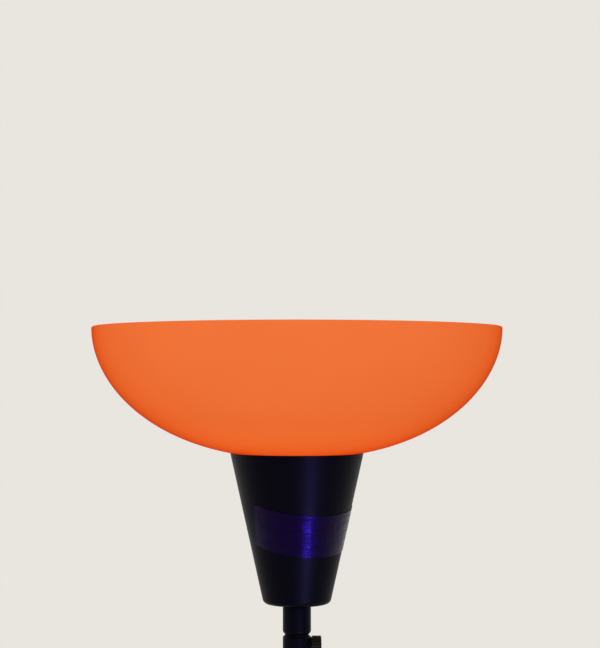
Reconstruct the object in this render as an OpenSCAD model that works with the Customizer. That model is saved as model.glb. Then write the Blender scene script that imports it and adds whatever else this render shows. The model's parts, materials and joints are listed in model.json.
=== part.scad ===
// Uplighter floor lamp: weighted base, three-part pole, black cone, opal bowl shade and a flexible reading arm.
// Sizes are millimetres. The origin is on the floor at the pole's axis, +Z is up and the front faces -Y.

/* [Base] */
// Diameter of the round base
base_d = 260; // [220:5:320]
// Height of the base at its hub
base_h = 36; // [34:1:50]
// Height of the cover's upright edge
cover_edge_h = 14; // [13.5:0.5:16]
// Radius between the cover's edge and its sloping top
cover_round = 6; // [4:0.5:8]
// Sheet thickness of the cover
cover_t = 1.2; // [0.8:0.1:2]
// Diameter of the flat hub on the cover
hub_d = 52; // [44:1:80]
// Thickness of the felt that the lamp stands on
felt_t = 2; // [1:0.5:4]
// Distance from the base's edge to the felt's edge
felt_inset = 6; // [2:1:20]
// Gap between the weight and the cover's sides
weight_gap = 0.4; // [0.2:0.1:1.5]
// Diameter of the recess under the weight
recess_d = 60; // [50:1:80]
// Depth of the recess under the weight
recess_depth = 22; // [20:0.5:25]
// Width of the lead's channel under the weight
channel_w = 16; // [14:0.5:24]
// Height of the lead's channel under the weight
channel_h = 14; // [13:0.5:16]

/* [Pole] */
// Outer diameter of the pole
pole_d = 22; // [19:0.5:26]
// Wall of the pole's tubes
pole_t = 1.2; // [0.8:0.1:1.5]
// Length of one pole section
section_l = 490.5; // [300:0.5:600]
// Length of a threaded insert in a tube's end
insert_l = 14; // [8:1:16]
// Distance from a tube's end to its insert
insert_inset = 0.5; // [0.3:0.1:1]
// Diameter of the collar at the pole's foot
collar_d = 36; // [32:1:42]
// Height of the collar at the pole's foot
collar_h = 9; // [6:0.5:14]
// Radius on the collar's top edge
collar_round = 4; // [1:0.5:4.5]

/* [Studs and nuts] */
// Outer diameter of the hollow studs
stud_d = 10; // [9:0.5:11]
// Bore of the hollow studs
stud_bore = 6.4; // [5.2:0.2:7]
// Width across the flats of the stud's nuts
nut_af = 17; // [14:0.5:19]
// Height of the stud's nuts
nut_h = 6; // [4:0.5:6.5]
// Diameter of the stud's washers
washer_d = 28; // [21:1:32]
// Thickness of the stud's washers
washer_t = 2; // [1:0.25:2.5]
// Length of stud that shows past a nut
stud_proud = 1; // [0.5:0.25:1.5]

/* [Leads] */
// Diameter of the mains lead
lead_d = 4.4; // [3:0.2:4.8]
// Bend radius of the mains lead under the stud
lead_bend = 4.5; // [3:0.25:5]
// Diameter of the lead to the lampholder
lamp_lead_d = 3.2; // [2:0.2:4.8]
// Bore of the lead's grommet
grommet_bore = 7; // [5:0.5:8]
// Diameter of the hole in the cover for the grommet
grommet_hole_d = 10.2; // [9.6:0.2:11]
// Diameter of the grommet's two flanges
grommet_d = 12.4; // [11.6:0.2:12.8]
// Thickness of each grommet flange
grommet_flange_t = 1.5; // [1:0.25:3]
// Length of lead channel left free behind the grommet
lead_gap = 20; // [0:1:40]

/* [Junction] */
// Wall of the junction barrel
junction_wall = 1.2; // [1.2:0.1:3.5]
// Height of the junction barrel
junction_h = 52.5; // [50:0.5:70]
// Thickness of the barrel's top wall
junction_top_t = 4; // [3:0.5:4]
// Chamfer on the barrel's edges
junction_chamfer = 0.8; // [0.2:0.1:1]
// How far the barrel's flat bosses stand out
boss_out = 0.5; // [0.3:0.1:1]
// Diameter of the spacer ring on the barrel
spacer_d = 18.8; // [14:0.2:20]
// Height of the spacer ring
spacer_h = 1.4; // [1:0.1:6]
// Length of the neck tube under the cone
neck_tube_h = 23.6; // [16:0.2:60]
// Radius of the neck tube's rolled ends
neck_tube_roll = 3; // [2:0.25:4]

/* [Switch] */
// Depth of the switch's axis below the barrel's top
switch_drop = 9.7; // [9.5:0.1:14]
// Width and depth of the switch body
switch_w = 12; // [10:0.25:12.5]
// Height of the switch body
switch_h = 11; // [9:0.25:11]
// Diameter of the switch's threaded bushing
bushing_d = 7; // [6:0.25:8]
// Diameter of the shoulder behind the bushing
shoulder_d = 10; // [9:0.25:11]
// Diameter of the boss that the switch is fastened to
switch_boss_d = 17.6; // [13:0.2:17.8]
// Width across the flats of the switch's nut
switch_nut_af = 10; // [9.5:0.25:11]
// Thickness of the switch's nut
switch_nut_t = 1.8; // [1:0.1:2]
// Diameter of the switch's shaft
switch_shaft_d = 4; // [3:0.25:4.5]
// Diameter of the switch's knob
knob_d = 19.4; // [15:0.2:19.4]
// Height of the switch's knob
knob_h = 7.2; // [6.5:0.1:12]
// Depth of the hollow behind the knob
knob_hollow = 2.4; // [2:0.1:3]
// Wall round the hollow behind the knob
knob_wall = 1.6; // [1:0.1:1.6]
// Thickness of a knob's closed end
knob_end_t = 1.5; // [1:0.1:2.5]
// Wall of the switch body behind its shaft
switch_wall = 2.4; // [1:0.2:4]
// Gap between the boss and the knob
knob_gap = 0.4; // [0.3:0.1:1]
// Number of flutes round a knob
knob_flutes = 24; // [16:1:30]
// Depth of a knob's flutes
flute_depth = 0.35; // [0.2:0.05:0.5]

/* [Cone] */
// Diameter of the cone at its bottom, before rounding
cone_bottom_d = 52; // [46:1:64]
// Diameter of the cone at its top rim
cone_top_d = 104.2; // [90:0.2:120]
// Height of the cone
cone_h = 117; // [100:1:150]
// Radius round the cone's bottom edge
cone_round = 4.5; // [3:0.5:9]
// Sheet thickness of the cone
cone_t = 1.2; // [0.8:0.1:2]
// Gap between the cone's rim and the bowl
cone_gap = 0.3; // [0.2:0.1:2]

/* [Tape] */
// Width of the tape
tape_w = 32.8; // [15:0.1:50]
// Thickness of the tape
tape_t = 0.3; // [0.2:0.05:0.6]
// Gap between the tape and the cone
tape_gap = 0.1; // [0.08:0.01:0.2]
// Distance up the cone's side to the lowest point of the tape
tape_up = 39.6; // [20:0.1:50]
// Direction of the tape's lowest point, from the front towards the right
tape_low_turn = 30; // [0:1:60]
// Direction of the tape's left end
tape_left_turn = -54; // [-90:0.5:-10]
// Direction of the tape's right end
tape_right_turn = 125; // [90:0.5:150]

/* [Bowl] */
// Diameter of the bowl's rim
bowl_d = 320; // [260:1:400]
// Depth of the bowl's curve, from its rim to where it would close
bowl_depth = 101.5; // [98:0.1:130]
// Fullness of the bowl's curve: 2 is an ellipse, and more is squarer
bowl_fullness = 2.08; // [2:0.02:2.4]
// Wall of the bowl
bowl_t = 2.5; // [1.5:0.1:4]
// Diameter of the flat under the bowl
bowl_seat_d = 56; // [55:0.5:64]
// Gap between the bowl's hole and the lampholder
bowl_hole_gap = 0.5; // [0.3:0.1:1]

/* [Lampholder] */
// Diameter of the lampholder
holder_d = 39.6; // [39:0.2:42]
// Wall of the lampholder's skirt
skirt_t = 3.6; // [2.5:0.1:4]
// Height of the skirt above the bowl's seat
skirt_up = 20; // [16:0.5:24]
// Depth of the skirt below the bowl's seat
skirt_down = 16; // [12:0.5:20]
// Diameter of the flange under the bowl
flange_d = 49; // [45:0.5:52]
// Thickness of the flange under the bowl
flange_t = 3; // [2:0.25:5]
// Height of the lampholder's cap
cap_h = 20; // [16:0.5:26]
// Thickness of the cap's threaded bottom
cap_bottom_t = 6; // [4:0.5:8]
// Width of the ledge that carries the core
ledge_w = 2; // [1:0.25:4]
// Height of the ceramic core
core_h = 12; // [8:0.5:14]
// Depth of the core's seat in the cap
core_seat = 4; // [2:0.5:6]
// Sheet thickness of the brass screw shells
shell_t = 0.5; // [0.3:0.1:0.8]
// Height of the brass screw shell
shell_h = 24; // [18:0.5:26]
// Diameter of the centre contact
contact_d = 8; // [6:0.5:10]
// Height of the centre contact
contact_h = 3; // [2:0.25:4]
// Diameter of the ring that clamps the bowl
ring_d = 53; // [46:0.5:54]
// Height of the ring that clamps the bowl
ring_h = 6; // [4:0.5:12]
// Number of grips round a shade ring
ring_grips = 18; // [10:1:24]
// Depth of a shade ring's grips
grip_depth = 0.8; // [0.3:0.1:1]

/* [Lamp] */
// Diameter of the lamp's screw cap
lamp_cap_d = 26.2; // [25.6:0.1:26.8]
// Height of the lamp's metal cap
lamp_cap_h = 20; // [18:0.5:26]
// Height of the insulator under the metal cap
lamp_tip_h = 6; // [4:0.5:8]
// Height of the lamp's housing
lamp_body_h = 36; // [26:0.5:40]
// Diameter of the lamp's globe
lamp_d = 60; // [50:0.5:64]
// Depth of the globe's seat below its widest part
globe_seat = 10; // [6:0.5:14]
// Wall of the lamp's housing and globe
lamp_t = 1.5; // [1:0.1:2]
// Thickness of the LED plate
led_plate_t = 1.5; // [1:0.1:2]

/* [Reading arm] */
// Direction of the arm, from the right towards the back
arm_turn = 60; // [30:1:150]
// Gap between the ferrule's nut and the insert below it
nut_clear = 0.6; // [0.3:0.1:3]
// Distance from the pole's axis to the arm's first pivot
arm_out = 26; // [24:0.5:40]
// Diameter of the ferrule at the arm's root
ferrule_d = 13; // [11:0.5:14]
// Diameter of the ferrule's threaded tail
ferrule_tail_d = 8; // [7:0.25:9]
// Width across the flats of the ferrule's nut
ferrule_nut_af = 12; // [11:0.25:13]
// Thickness of the ferrule's nut
ferrule_nut_t = 3; // [2:0.25:3]
// Diameter of the flexible neck
neck_d = 8; // [7.8:0.1:10]
// Distance between two pivots of the neck
link_l = 32; // [26:1:40]
// Diameter of the ball at each pivot
ball_d = 6.6; // [6:0.1:6.8]
// Gap between a ball and its socket
ball_gap = 0.08; // [0.03:0.01:0.1]
// Height of a socket's lip past its ball's centre
socket_lip = 1; // [0.6:0.1:1.2]
// Diameter of the waist between a ball and its link
waist_d = 4; // [3:0.1:4.2]
// Distance from a pivot to its link's body
link_start = 3.9; // [3.7:0.1:5]
// Bore for the wires in the neck
neck_bore = 2.4; // [1.6:0.1:2.6]
// Distance between two ribs of the neck
rib_pitch = 2.8; // [2:0.1:4]
// Depth of the grooves between the ribs
rib_depth = 0.5; // [0.2:0.05:0.7]
// Length of plain neck round each socket
socket_plain = 4.6; // [4:0.1:7]

/* [Reading head] */
// Diameter of the head's cup
cup_d = 36; // [34:0.5:40]
// Length of the head's cup
cup_l = 40; // [38:0.5:50]
// Wall of the head's cup
cup_t = 1.5; // [1:0.1:2]
// Diameter of the cup's boss
cup_boss_d = 14; // [12:0.5:16]
// Length of the cup's boss
cup_boss_l = 9; // [6:0.5:12]
// Diameter of the neck's threaded end
spigot_d = 6; // [5:0.25:7]
// Width across the flats of the nut in the cup
cup_nut_af = 10; // [9:0.25:12]
// Height of the nut in the cup
cup_nut_h = 4; // [3:0.25:4]
// Diameter of the small lampholder's body
small_holder_d = 25; // [22:0.5:27]
// Length of the small lampholder's body inside the cup
small_holder_l = 23; // [20:0.5:23]
// Thickness of the small lampholder's closed end
small_holder_end_t = 9; // [8:0.5:11]
// Diameter of the small lampholder's threaded sleeve
sleeve_d = 27.6; // [26:0.2:29]
// Length of the small lampholder's threaded sleeve
sleeve_l = 10; // [9:0.5:12]
// Thickness of the flange between the cup and the shade
small_flange_t = 2; // [1.5:0.25:4]
// Diameter of the small lamp's screw cap
small_cap_d = 13.8; // [13.4:0.1:14.2]
// Gap between a lamp's cap and its screw shell
cap_gap = 0.3; // [0.2:0.05:0.4]
// Height of the small lamp's cap
small_cap_h = 19; // [15:0.5:22]
// Diameter of the small lamp's globe
small_lamp_d = 45; // [38:0.5:50]
// Length of the small lamp's neck that shows past the sleeve
small_neck_out = 1.5; // [0.5:0.1:4]
// Wall of the small lamp's globe
small_lamp_t = 1; // [0.8:0.1:1.5]
// Diameter of the reading shade's mouth
shade_d = 90; // [76:1:110]
// Depth of the reading shade
shade_depth = 62; // [58:1:80]
// Wall of the reading shade
shade_t = 2; // [1.2:0.1:3]
// Diameter of the flat on top of the reading shade
shade_top_d = 44; // [42:0.5:50]
// Diameter of the ring in the reading shade
small_ring_d = 37; // [33:0.5:38]
// Height of the ring in the reading shade
small_ring_h = 5; // [3:0.5:8]
// Diameter of the reading switch's shaft
head_shaft_d = 3.2; // [2.4:0.2:4]
// Distance from the holder's closed end to the reading switch's axis
head_shaft_up = 4.5; // [3.5:0.25:5]
// Diameter of the reading switch's knob
head_knob_d = 12; // [9:0.5:16]
// Length of the reading switch's knob
head_knob_l = 9; // [6:0.5:14]

/* [Hidden] */
$fn = 64;
thread_gap = 0.05;   // a screwed fit
slide_gap = 0.15;    // a part slipped over another
hole_gap = 0.3;      // a clearance hole
shaft_gap = 0.05;    // a shaft that turns in its bore
push_gap = 0.02;     // a knob pushed on its shaft
cut = 1;             // overshoot of a cut
curve_steps = 8;     // straight pieces in a small curve
bowl_steps = 26;     // straight pieces in the bowl's curve
tape_steps = 34;     // straight pieces along the tape
pole_sections = 3;

// Elevation of each link of the flexible neck at rest, from the arm's root outwards, in degrees
neck_rise = [-18, -46, -72, -86, -88, -86, -86, -90];
neck_links = len(neck_rise);

black = "#16161a";
tape_grey = "#2e2a34";
opal_orange = "#f4762f";
lamp_orange = "#ffa24a";
opal_white = "#f2efe8";
steel = "#b4b6ba";
brass = "#c8a24a";
iron = "#4a4a4c";

weight_inset = cover_t + weight_gap;
stud_hole_r = stud_d/2 + hole_gap;
stud_thread_r = stud_d/2 + thread_gap;
pole_bore = pole_d - 2*pole_t;
recess_top = felt_t + recess_depth;
base_nut_z = recess_top - washer_t - nut_h;
base_stud_z = base_nut_z - stud_proud;
lead_z = felt_t + channel_h/2;

junction_d = pole_bore + 2*junction_wall;
junction_z = base_h + pole_sections*section_l;
junction_top = junction_z + junction_h;
junction_ceiling = junction_top - junction_top_t;
neck_tube_z = junction_top + spacer_h;
cone_z = neck_tube_z + neck_tube_h;
cone_top = cone_z + cone_h;

cone_slope = (cone_top_d - cone_bottom_d)/2/cone_h;
cone_angle = atan(cone_slope);
cone_apex = cone_z - cone_bottom_d/2/cone_slope;

bowl_r = bowl_d/2;
bowl_rim = cone_top + cone_gap + bowl_drop(cone_top_d/2);
seat_z = bowl_rim - bowl_drop(bowl_seat_d/2);

cap_top = seat_z - skirt_down;
cap_z = cap_top - cap_h;
core_r = holder_d/2 - skirt_t - slide_gap;
core_z = cap_top - core_seat;
core_top = core_z + core_h;
lamp_z = core_top + contact_h;
lamp_body_z = lamp_z + lamp_tip_h + lamp_cap_h;
globe_z = lamp_body_z + lamp_body_h;
globe_seat_r = sqrt(pow(lamp_d/2, 2) - pow(globe_seat, 2));

switch_z = junction_top - switch_drop;
boss_face = junction_d/2 + boss_out;
knob_x = boss_face + knob_gap;
shoulder_x = sqrt(pow(pole_bore/2, 2) - pow(shoulder_d/2, 2)) - slide_gap;
bushing_x = boss_face + switch_nut_t + stud_proud/2;
switch_bore_x = switch_wall - switch_w/2;
switch_shaft_x = knob_x + knob_h - knob_end_t;

ferrule_corner = ferrule_nut_af/2/cos(30);
arm_z = junction_z + insert_inset + insert_l + nut_clear + ferrule_corner;
arm_root = [arm_out*cos(arm_turn), arm_out*sin(arm_turn), arm_z];
ferrule_nut_z = sqrt(pow(pole_bore/2, 2) - pow(ferrule_corner, 2)) - slide_gap;

small_flange_d = cup_d - cup_t;
small_holder_z = cup_l - small_holder_l;
small_bore_d = small_cap_d + 2*cap_gap + 2*shell_t + 2*push_gap;
small_shell_z = small_holder_z + small_holder_end_t;
shade_z = cup_l + small_flange_t;
small_cap_z = small_shell_z + contact_h;
small_neck_end = shade_z + sleeve_l + small_neck_out;
small_globe_z = small_neck_end + sqrt(pow(small_lamp_d/2, 2) - pow(small_cap_d/2, 2));
spigot_l = cup_boss_l + cup_t + cup_nut_h + stud_proud;
head_shaft_z = small_holder_z + head_shaft_up;
head_knob_x = cup_d/2 + knob_gap;

// Points on an arc about a centre, from one angle to another
function arc(centre, r, from, to) =
    [for (i = [0:curve_steps])
        let (a = from + (to - from)*i/curve_steps)
        centre + r*[cos(a), sin(a)]];

function reversed(points) = [for (i = [len(points) - 1:-1:0]) points[i]];

// Half outline of the base's top, set in from the outside, from its lower edge to its hub
function base_outline(inset, hub_z) =
    let (centre = [base_d/2 - cover_round, felt_t + cover_edge_h],
         round = cover_round - inset,
         hub = [hub_d/2, hub_z],
         slope = atan2(centre.y - hub.y, centre.x - hub.x) + asin(round/norm(centre - hub)))
    concat([[base_d/2 - inset, felt_t]], arc(centre, round, 0, slope + 90), [hub]);

// Half outline of the cone, set in from the outside, from its bottom to its rim
function cone_outline(inset) =
    let (round_r = cone_bottom_d/2 + cone_round*cone_slope - cone_round/cos(cone_angle),
         shift = inset/cos(cone_angle))
    concat(arc([round_r, cone_z + cone_round], cone_round - inset, -90, -cone_angle),
           [[cone_top_d/2 - shift, cone_top]]);

// How far the bowl's outside lies below its rim at a radius
function bowl_drop(r) = bowl_depth*pow(1 - pow(r/bowl_r, bowl_fullness), 1/bowl_fullness);

// Half outline of the bowl, set in from the outside, from the edge of its flat to its rim
function bowl_outline(inset) =
    let (a = bowl_r - inset,
         b = bowl_depth - inset,
         power = 2/bowl_fullness,
         start = acos(pow((bowl_rim - seat_z - inset)/b, 1/power)))
    [for (i = [0:bowl_steps])
        let (t = start + (90 - start)*i/bowl_steps)
        [a*pow(sin(t), power), bowl_rim - b*pow(cos(t), power)]];

// Half outline of the reading shade, set in from the outside, from the edge of its flat to its mouth
function shade_outline(inset) =
    let (a = shade_d/2 - inset,
         b = shade_depth/sqrt(1 - pow(shade_top_d/shade_d, 2)) - inset,
         start = acos((shade_depth - inset)/b))
    [for (i = [0:2*curve_steps])
        let (t = start + (90 - start)*i/curve_steps/2)
        [a*sin(t), shade_z + shade_depth - b*cos(t)]];

// Half outline of the lamp's housing, set in from the outside, swelling from its cap to its globe
function lamp_outline(inset) =
    [for (i = [0:curve_steps])
        let (t = i/curve_steps,
             swell = (1 - cos(180*t))/2)
        [lamp_cap_d/2 + (globe_seat_r - lamp_cap_d/2)*swell - inset, lamp_body_z + lamp_body_h*t]];

// A pivot of the flexible neck, counted from its root
function link_direction(k) =
    [cos(neck_rise[k])*cos(arm_turn), cos(neck_rise[k])*sin(arm_turn), sin(neck_rise[k])];
function pivot(k) = k == 0 ? arm_root : pivot(k - 1) + link_l*link_direction(k - 1);

// A point on the tape: up the cone's side by formula of a straight strip, and out from the cone
function tape_point(turn, low_slant, out) =
    let (slant = low_slant/cos((turn - tape_low_turn)*sin(cone_angle)),
         r = slant*sin(cone_angle) + out*cos(cone_angle),
         z = cone_apex + slant*cos(cone_angle) - out*sin(cone_angle))
    [r*sin(turn), -r*cos(turn), z];

module tube(outer, inner, h) {
    difference() {
        cylinder(d = outer, h = h);
        translate([0, 0, -cut]) cylinder(d = inner, h = h + 2*cut);
    }
}

module hex_nut(across_flats, bore, h) {
    difference() {
        cylinder(d = across_flats/cos(30), h = h, $fn = 6);
        translate([0, 0, -cut]) cylinder(d = bore, h = h + 2*cut);
    }
}

// Turns a shape that was made along +Z to lie along +X
module along_x() {
    rotate([0, 90, 0]) children();
}

module at_arm_root() {
    translate([0, 0, arm_z]) rotate([0, 90, arm_turn]) children();
}

module at_link(k) {
    translate(pivot(k)) rotate([0, 90 - neck_rise[k], arm_turn]) children();
}

module at_head() {
    translate(pivot(neck_links)) rotate([0, 90 - neck_rise[neck_links - 1], arm_turn]) children();
}

// Puts a shape that was made along +Z on the reading switch's axis, which points away from the pole
module at_head_switch() {
    at_head() translate([0, 0, head_shaft_z]) rotate([0, -90, 0]) children();
}

// A fluted knob with its back at z = 0
module fluted_knob(d, h, edge) {
    difference() {
        rotate_extrude()
            polygon([[0, 0], [d/2, 0], [d/2, h - edge], [d/2 - edge, h], [0, h]]);
        for (i = [0:knob_flutes - 1])
            rotate(360*i/knob_flutes)
                translate([d/2 + flute_depth, 0, -cut]) cylinder(r = 2*flute_depth, h = h + 2*cut);
    }
}

// A ring with grips round its edge, for the hand that clamps a shade
module grip_ring(d, bore, h) {
    difference() {
        tube(d, bore, h);
        for (i = [0:ring_grips - 1])
            rotate(360*i/ring_grips)
                translate([d/2 + grip_depth, 0, -cut]) cylinder(r = 2*grip_depth, h = h + 2*cut);
    }
}

module floor_felt() {
    color("dimgray") tube(base_d - 2*felt_inset, recess_d, felt_t);
}

module base_weight() {
    boss_r = hub_d/2 - weight_inset;
    color(iron) difference() {
        union() {
            rotate_extrude()
                polygon(concat([[0, felt_t]], base_outline(weight_inset, base_h - weight_inset),
                               [[0, base_h - weight_inset]]));
            translate([0, 0, recess_top]) cylinder(r = boss_r, h = base_h - cover_t - recess_top);
        }
        translate([0, 0, felt_t - cut]) cylinder(d = recess_d, h = recess_depth + cut);
        cylinder(r = stud_hole_r, h = base_h + cut);
        translate([-channel_w/2, 0, felt_t - cut]) cube([channel_w, base_d/2 + cut, channel_h + cut]);
    }
}

module base_cover() {
    color(black) difference() {
        rotate_extrude()
            polygon(concat(base_outline(0, base_h), [[stud_hole_r, base_h], [stud_hole_r, base_h - cover_t]],
                           reversed(base_outline(cover_t, base_h - cover_t))));
        translate([0, base_d/2 - 2*cover_round, lead_z]) rotate([-90, 0, 0])
            cylinder(d = grommet_hole_d, h = 2*cover_round + cut);
    }
}

module base_washer() {
    color(steel) translate([0, 0, recess_top - washer_t]) tube(washer_d, 2*stud_hole_r, washer_t);
}

module base_nut() {
    color(steel) translate([0, 0, base_nut_z]) hex_nut(nut_af, 2*stud_thread_r, nut_h);
}

module base_stud() {
    color(steel) translate([0, 0, base_stud_z])
        tube(stud_d, stud_bore, base_h + insert_inset + insert_l - base_stud_z);
}

module lead_grommet() {
    neck_l = cover_t + 2*slide_gap;
    flange = [grommet_d/2, grommet_flange_t];
    neck_r = grommet_hole_d/2 - slide_gap;
    color("#202022") translate([0, base_d/2 + slide_gap + grommet_flange_t, lead_z]) rotate([90, 0, 0])
        rotate_extrude()
            polygon([[grommet_bore/2, 0], [flange.x, 0], flange, [neck_r, flange.y], [neck_r, flange.y + neck_l],
                     [flange.x, flange.y + neck_l], [flange.x, 2*flange.y + neck_l],
                     [grommet_bore/2, 2*flange.y + neck_l]]);
}

module pole_collar() {
    inner = pole_d/2 + slide_gap;
    outer = collar_d/2;
    color(black) translate([0, 0, base_h]) rotate_extrude()
        polygon(concat([[inner, 0], [outer, 0]],
                       arc([outer - collar_round, collar_h - collar_round], collar_round, 0, 90),
                       [[inner, collar_h]]));
}

module pole_section(i) {
    color(black) translate([0, 0, base_h + i*section_l]) tube(pole_d, pole_bore, section_l);
}

// One threaded insert in each end of each pole section, and one in the junction's open end
module pole_inserts() {
    bottoms = [for (i = [0:pole_sections]) base_h + i*section_l + insert_inset];
    tops = [for (i = [1:pole_sections]) base_h + i*section_l - insert_inset - insert_l];
    color(steel) for (z = concat(bottoms, tops))
        translate([0, 0, z]) tube(pole_bore - 2*thread_gap, 2*stud_thread_r, insert_l);
}

module joining_studs() {
    reach = insert_inset + insert_l;
    color(steel) for (i = [1:pole_sections])
        translate([0, 0, base_h + i*section_l - reach]) tube(stud_d, stud_bore, 2*reach);
}

// Runs along the channel from the grommet, bends up into the stud and climbs the pole to the switch
module mains_lead() {
    start_y = base_d/2 - cover_t - 2*slide_gap - grommet_flange_t - lead_gap;
    climb_z = lead_z + lead_bend;
    color("#2a2a2c") {
        translate([0, lead_bend, lead_z]) rotate([-90, 0, 0])
            cylinder(d = lead_d, h = start_y - lead_bend);
        translate([0, lead_bend, climb_z]) rotate([-90, 0, -90]) rotate_extrude(angle = 90)
            translate([lead_bend, 0]) circle(d = lead_d);
        translate([0, 0, climb_z]) cylinder(d = lead_d, h = switch_z - switch_h/2 - climb_z);
    }
}

module junction_body() {
    r = junction_d/2;
    c = junction_chamfer;
    color(black) difference() {
        union() {
            translate([0, 0, junction_z]) rotate_extrude()
                polygon([[0, 0], [r - c, 0], [r, c], [r, junction_h - c], [r - c, junction_h], [0, junction_h]]);
            translate([0, 0, switch_z]) along_x() cylinder(d = switch_boss_d, h = boss_face);
            at_arm_root() cylinder(d = ferrule_d + 2*boss_out, h = boss_face);
        }
        translate([0, 0, junction_z - cut]) cylinder(d = pole_bore, h = junction_ceiling - junction_z + cut);
        cylinder(r = stud_thread_r, h = junction_top + cut);
        translate([0, 0, switch_z]) along_x() cylinder(d = bushing_d + 2*slide_gap, h = boss_face + cut);
        at_arm_root() cylinder(d = ferrule_tail_d + 2*slide_gap, h = boss_face + cut);
    }
}

// A box with a shoulder and a threaded bushing that reaches out through the barrel's wall
module switch_body() {
    color("#3a3a3c") translate([0, 0, switch_z]) difference() {
        union() {
            cube([switch_w, switch_w, switch_h], center = true);
            along_x() cylinder(d = shoulder_d, h = shoulder_x);
            along_x() cylinder(d = bushing_d, h = bushing_x);
        }
        translate([switch_bore_x, 0, 0]) along_x()
            cylinder(d = switch_shaft_d + 2*shaft_gap, h = bushing_x - switch_bore_x + cut);
    }
}

module switch_nut() {
    color(steel) translate([boss_face, 0, switch_z]) along_x()
        hex_nut(switch_nut_af, bushing_d + 2*thread_gap, switch_nut_t);
}

module switch_shaft() {
    start = switch_bore_x + hole_gap;
    color(steel) translate([start, 0, switch_z]) along_x() cylinder(d = switch_shaft_d, h = switch_shaft_x - start);
}

module switch_knob() {
    color(black) translate([knob_x, 0, switch_z]) along_x() difference() {
        fluted_knob(knob_d, knob_h, 2*flute_depth);
        translate([0, 0, -cut]) cylinder(d = knob_d - 2*knob_wall, h = knob_hollow + cut);
        cylinder(d = switch_shaft_d + 2*push_gap, h = switch_shaft_x - knob_x + push_gap);
    }
}

module spacer_ring() {
    color(black) translate([0, 0, junction_top]) tube(spacer_d, 2*stud_hole_r, spacer_h);
}

// A tube whose two ends are rolled in to grip the stud
module neck_tube() {
    r = pole_d/2;
    roll = neck_tube_roll;
    bottom = arc([r - roll, roll], roll, -90, 0);
    top = arc([r - roll, neck_tube_h - roll], roll, 0, 90);
    inner_top = arc([r - roll, neck_tube_h - roll], roll - pole_t, 90, 0);
    inner_bottom = arc([r - roll, roll], roll - pole_t, 0, -90);
    color(black) translate([0, 0, neck_tube_z]) rotate_extrude()
        polygon(concat([[stud_hole_r, 0]], bottom, top, [[stud_hole_r, neck_tube_h]],
                       [[stud_hole_r, neck_tube_h - pole_t]], inner_top, inner_bottom, [[stud_hole_r, pole_t]]));
}

module top_stud() {
    color(steel) translate([0, 0, junction_ceiling])
        tube(stud_d, stud_bore, cap_z + cap_bottom_t - junction_ceiling);
}

module lamp_lead() {
    start = switch_z + switch_h/2;
    color("#e8e4dc") translate([0, 0, start]) cylinder(d = lamp_lead_d, h = core_z - start);
}

module cone_cover() {
    color(black) rotate_extrude()
        polygon(concat([[stud_hole_r, cone_z]], cone_outline(0), reversed(cone_outline(cone_t)),
                       [[stud_hole_r, cone_z + cone_t]]));
}

module cone_washer() {
    color(steel) translate([0, 0, cone_z + cone_t]) tube(washer_d, 2*stud_hole_r, washer_t);
}

module cone_nut() {
    color(steel) translate([0, 0, cone_z + cone_t + washer_t]) hex_nut(nut_af, 2*stud_thread_r, nut_h);
}

// A straight strip wound round the cone, so that its edges rise away from one low point
module tape_strip() {
    low = cone_bottom_d/2/sin(cone_angle) + tape_up;
    points = [for (i = [0:tape_steps])
        let (turn = tape_left_turn + (tape_right_turn - tape_left_turn)*i/tape_steps)
        each [tape_point(turn, low, tape_gap), tape_point(turn, low, tape_gap + tape_t),
              tape_point(turn, low + tape_w, tape_gap + tape_t), tape_point(turn, low + tape_w, tape_gap)]];
    sides = [for (i = [0:tape_steps - 1], k = [0:3])
        let (a = 4*i + k, b = 4*i + (k + 1)%4)
        each [[a, b, b + 4], [a, b + 4, a + 4]]];
    last = 4*tape_steps;
    ends = [[0, 3, 2], [0, 2, 1], [last, last + 1, last + 2], [last, last + 2, last + 3]];
    color(tape_grey) polyhedron(points, concat(sides, ends));
}

// Closed bottom for the stud, a cavity for the wires and a ledge for the core
module holder_cap() {
    r = holder_d/2;
    core_seat_r = core_r + slide_gap;
    round = cap_bottom_t;
    color("#1c1c1e") translate([0, 0, cap_z]) rotate_extrude()
        polygon(concat([[stud_thread_r, 0]], arc([r - round, round], round, -90, 0),
                       [[r, cap_h], [core_seat_r, cap_h], [core_seat_r, cap_h - core_seat],
                        [core_r - ledge_w, cap_h - core_seat], [core_r - ledge_w, cap_bottom_t],
                        [stud_thread_r, cap_bottom_t]]));
}

module holder_core() {
    color("ivory") translate([0, 0, core_z]) cylinder(r = core_r, h = core_h);
}

module screw_shell() {
    inner = lamp_cap_d + 2*cap_gap;
    color(brass) translate([0, 0, core_top]) tube(inner + 2*shell_t, inner, shell_h);
}

module centre_contact() {
    color(brass) translate([0, 0, core_top]) cylinder(d = contact_d, h = contact_h);
}

module holder_skirt() {
    r = holder_d/2;
    inner = r - skirt_t;
    color("#1c1c1e") translate([0, 0, seat_z]) rotate_extrude()
        polygon([[inner, -skirt_down], [r, -skirt_down], [r, -flange_t], [flange_d/2, -flange_t],
                 [flange_d/2, 0], [r, 0], [r, skirt_up], [inner, skirt_up]]);
}

module shade_ring() {
    color("#1c1c1e") translate([0, 0, seat_z + bowl_t])
        grip_ring(ring_d, holder_d + 2*slide_gap, ring_h);
}

module bowl_shade() {
    hole_r = holder_d/2 + bowl_hole_gap;
    lip = bowl_t/2;
    color(opal_orange) rotate_extrude()
        polygon(concat([[hole_r, seat_z]], bowl_outline(0), arc([bowl_r - lip, bowl_rim], lip, 0, 180),
                       reversed(bowl_outline(bowl_t)), [[hole_r, seat_z + bowl_t]]));
}

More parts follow.
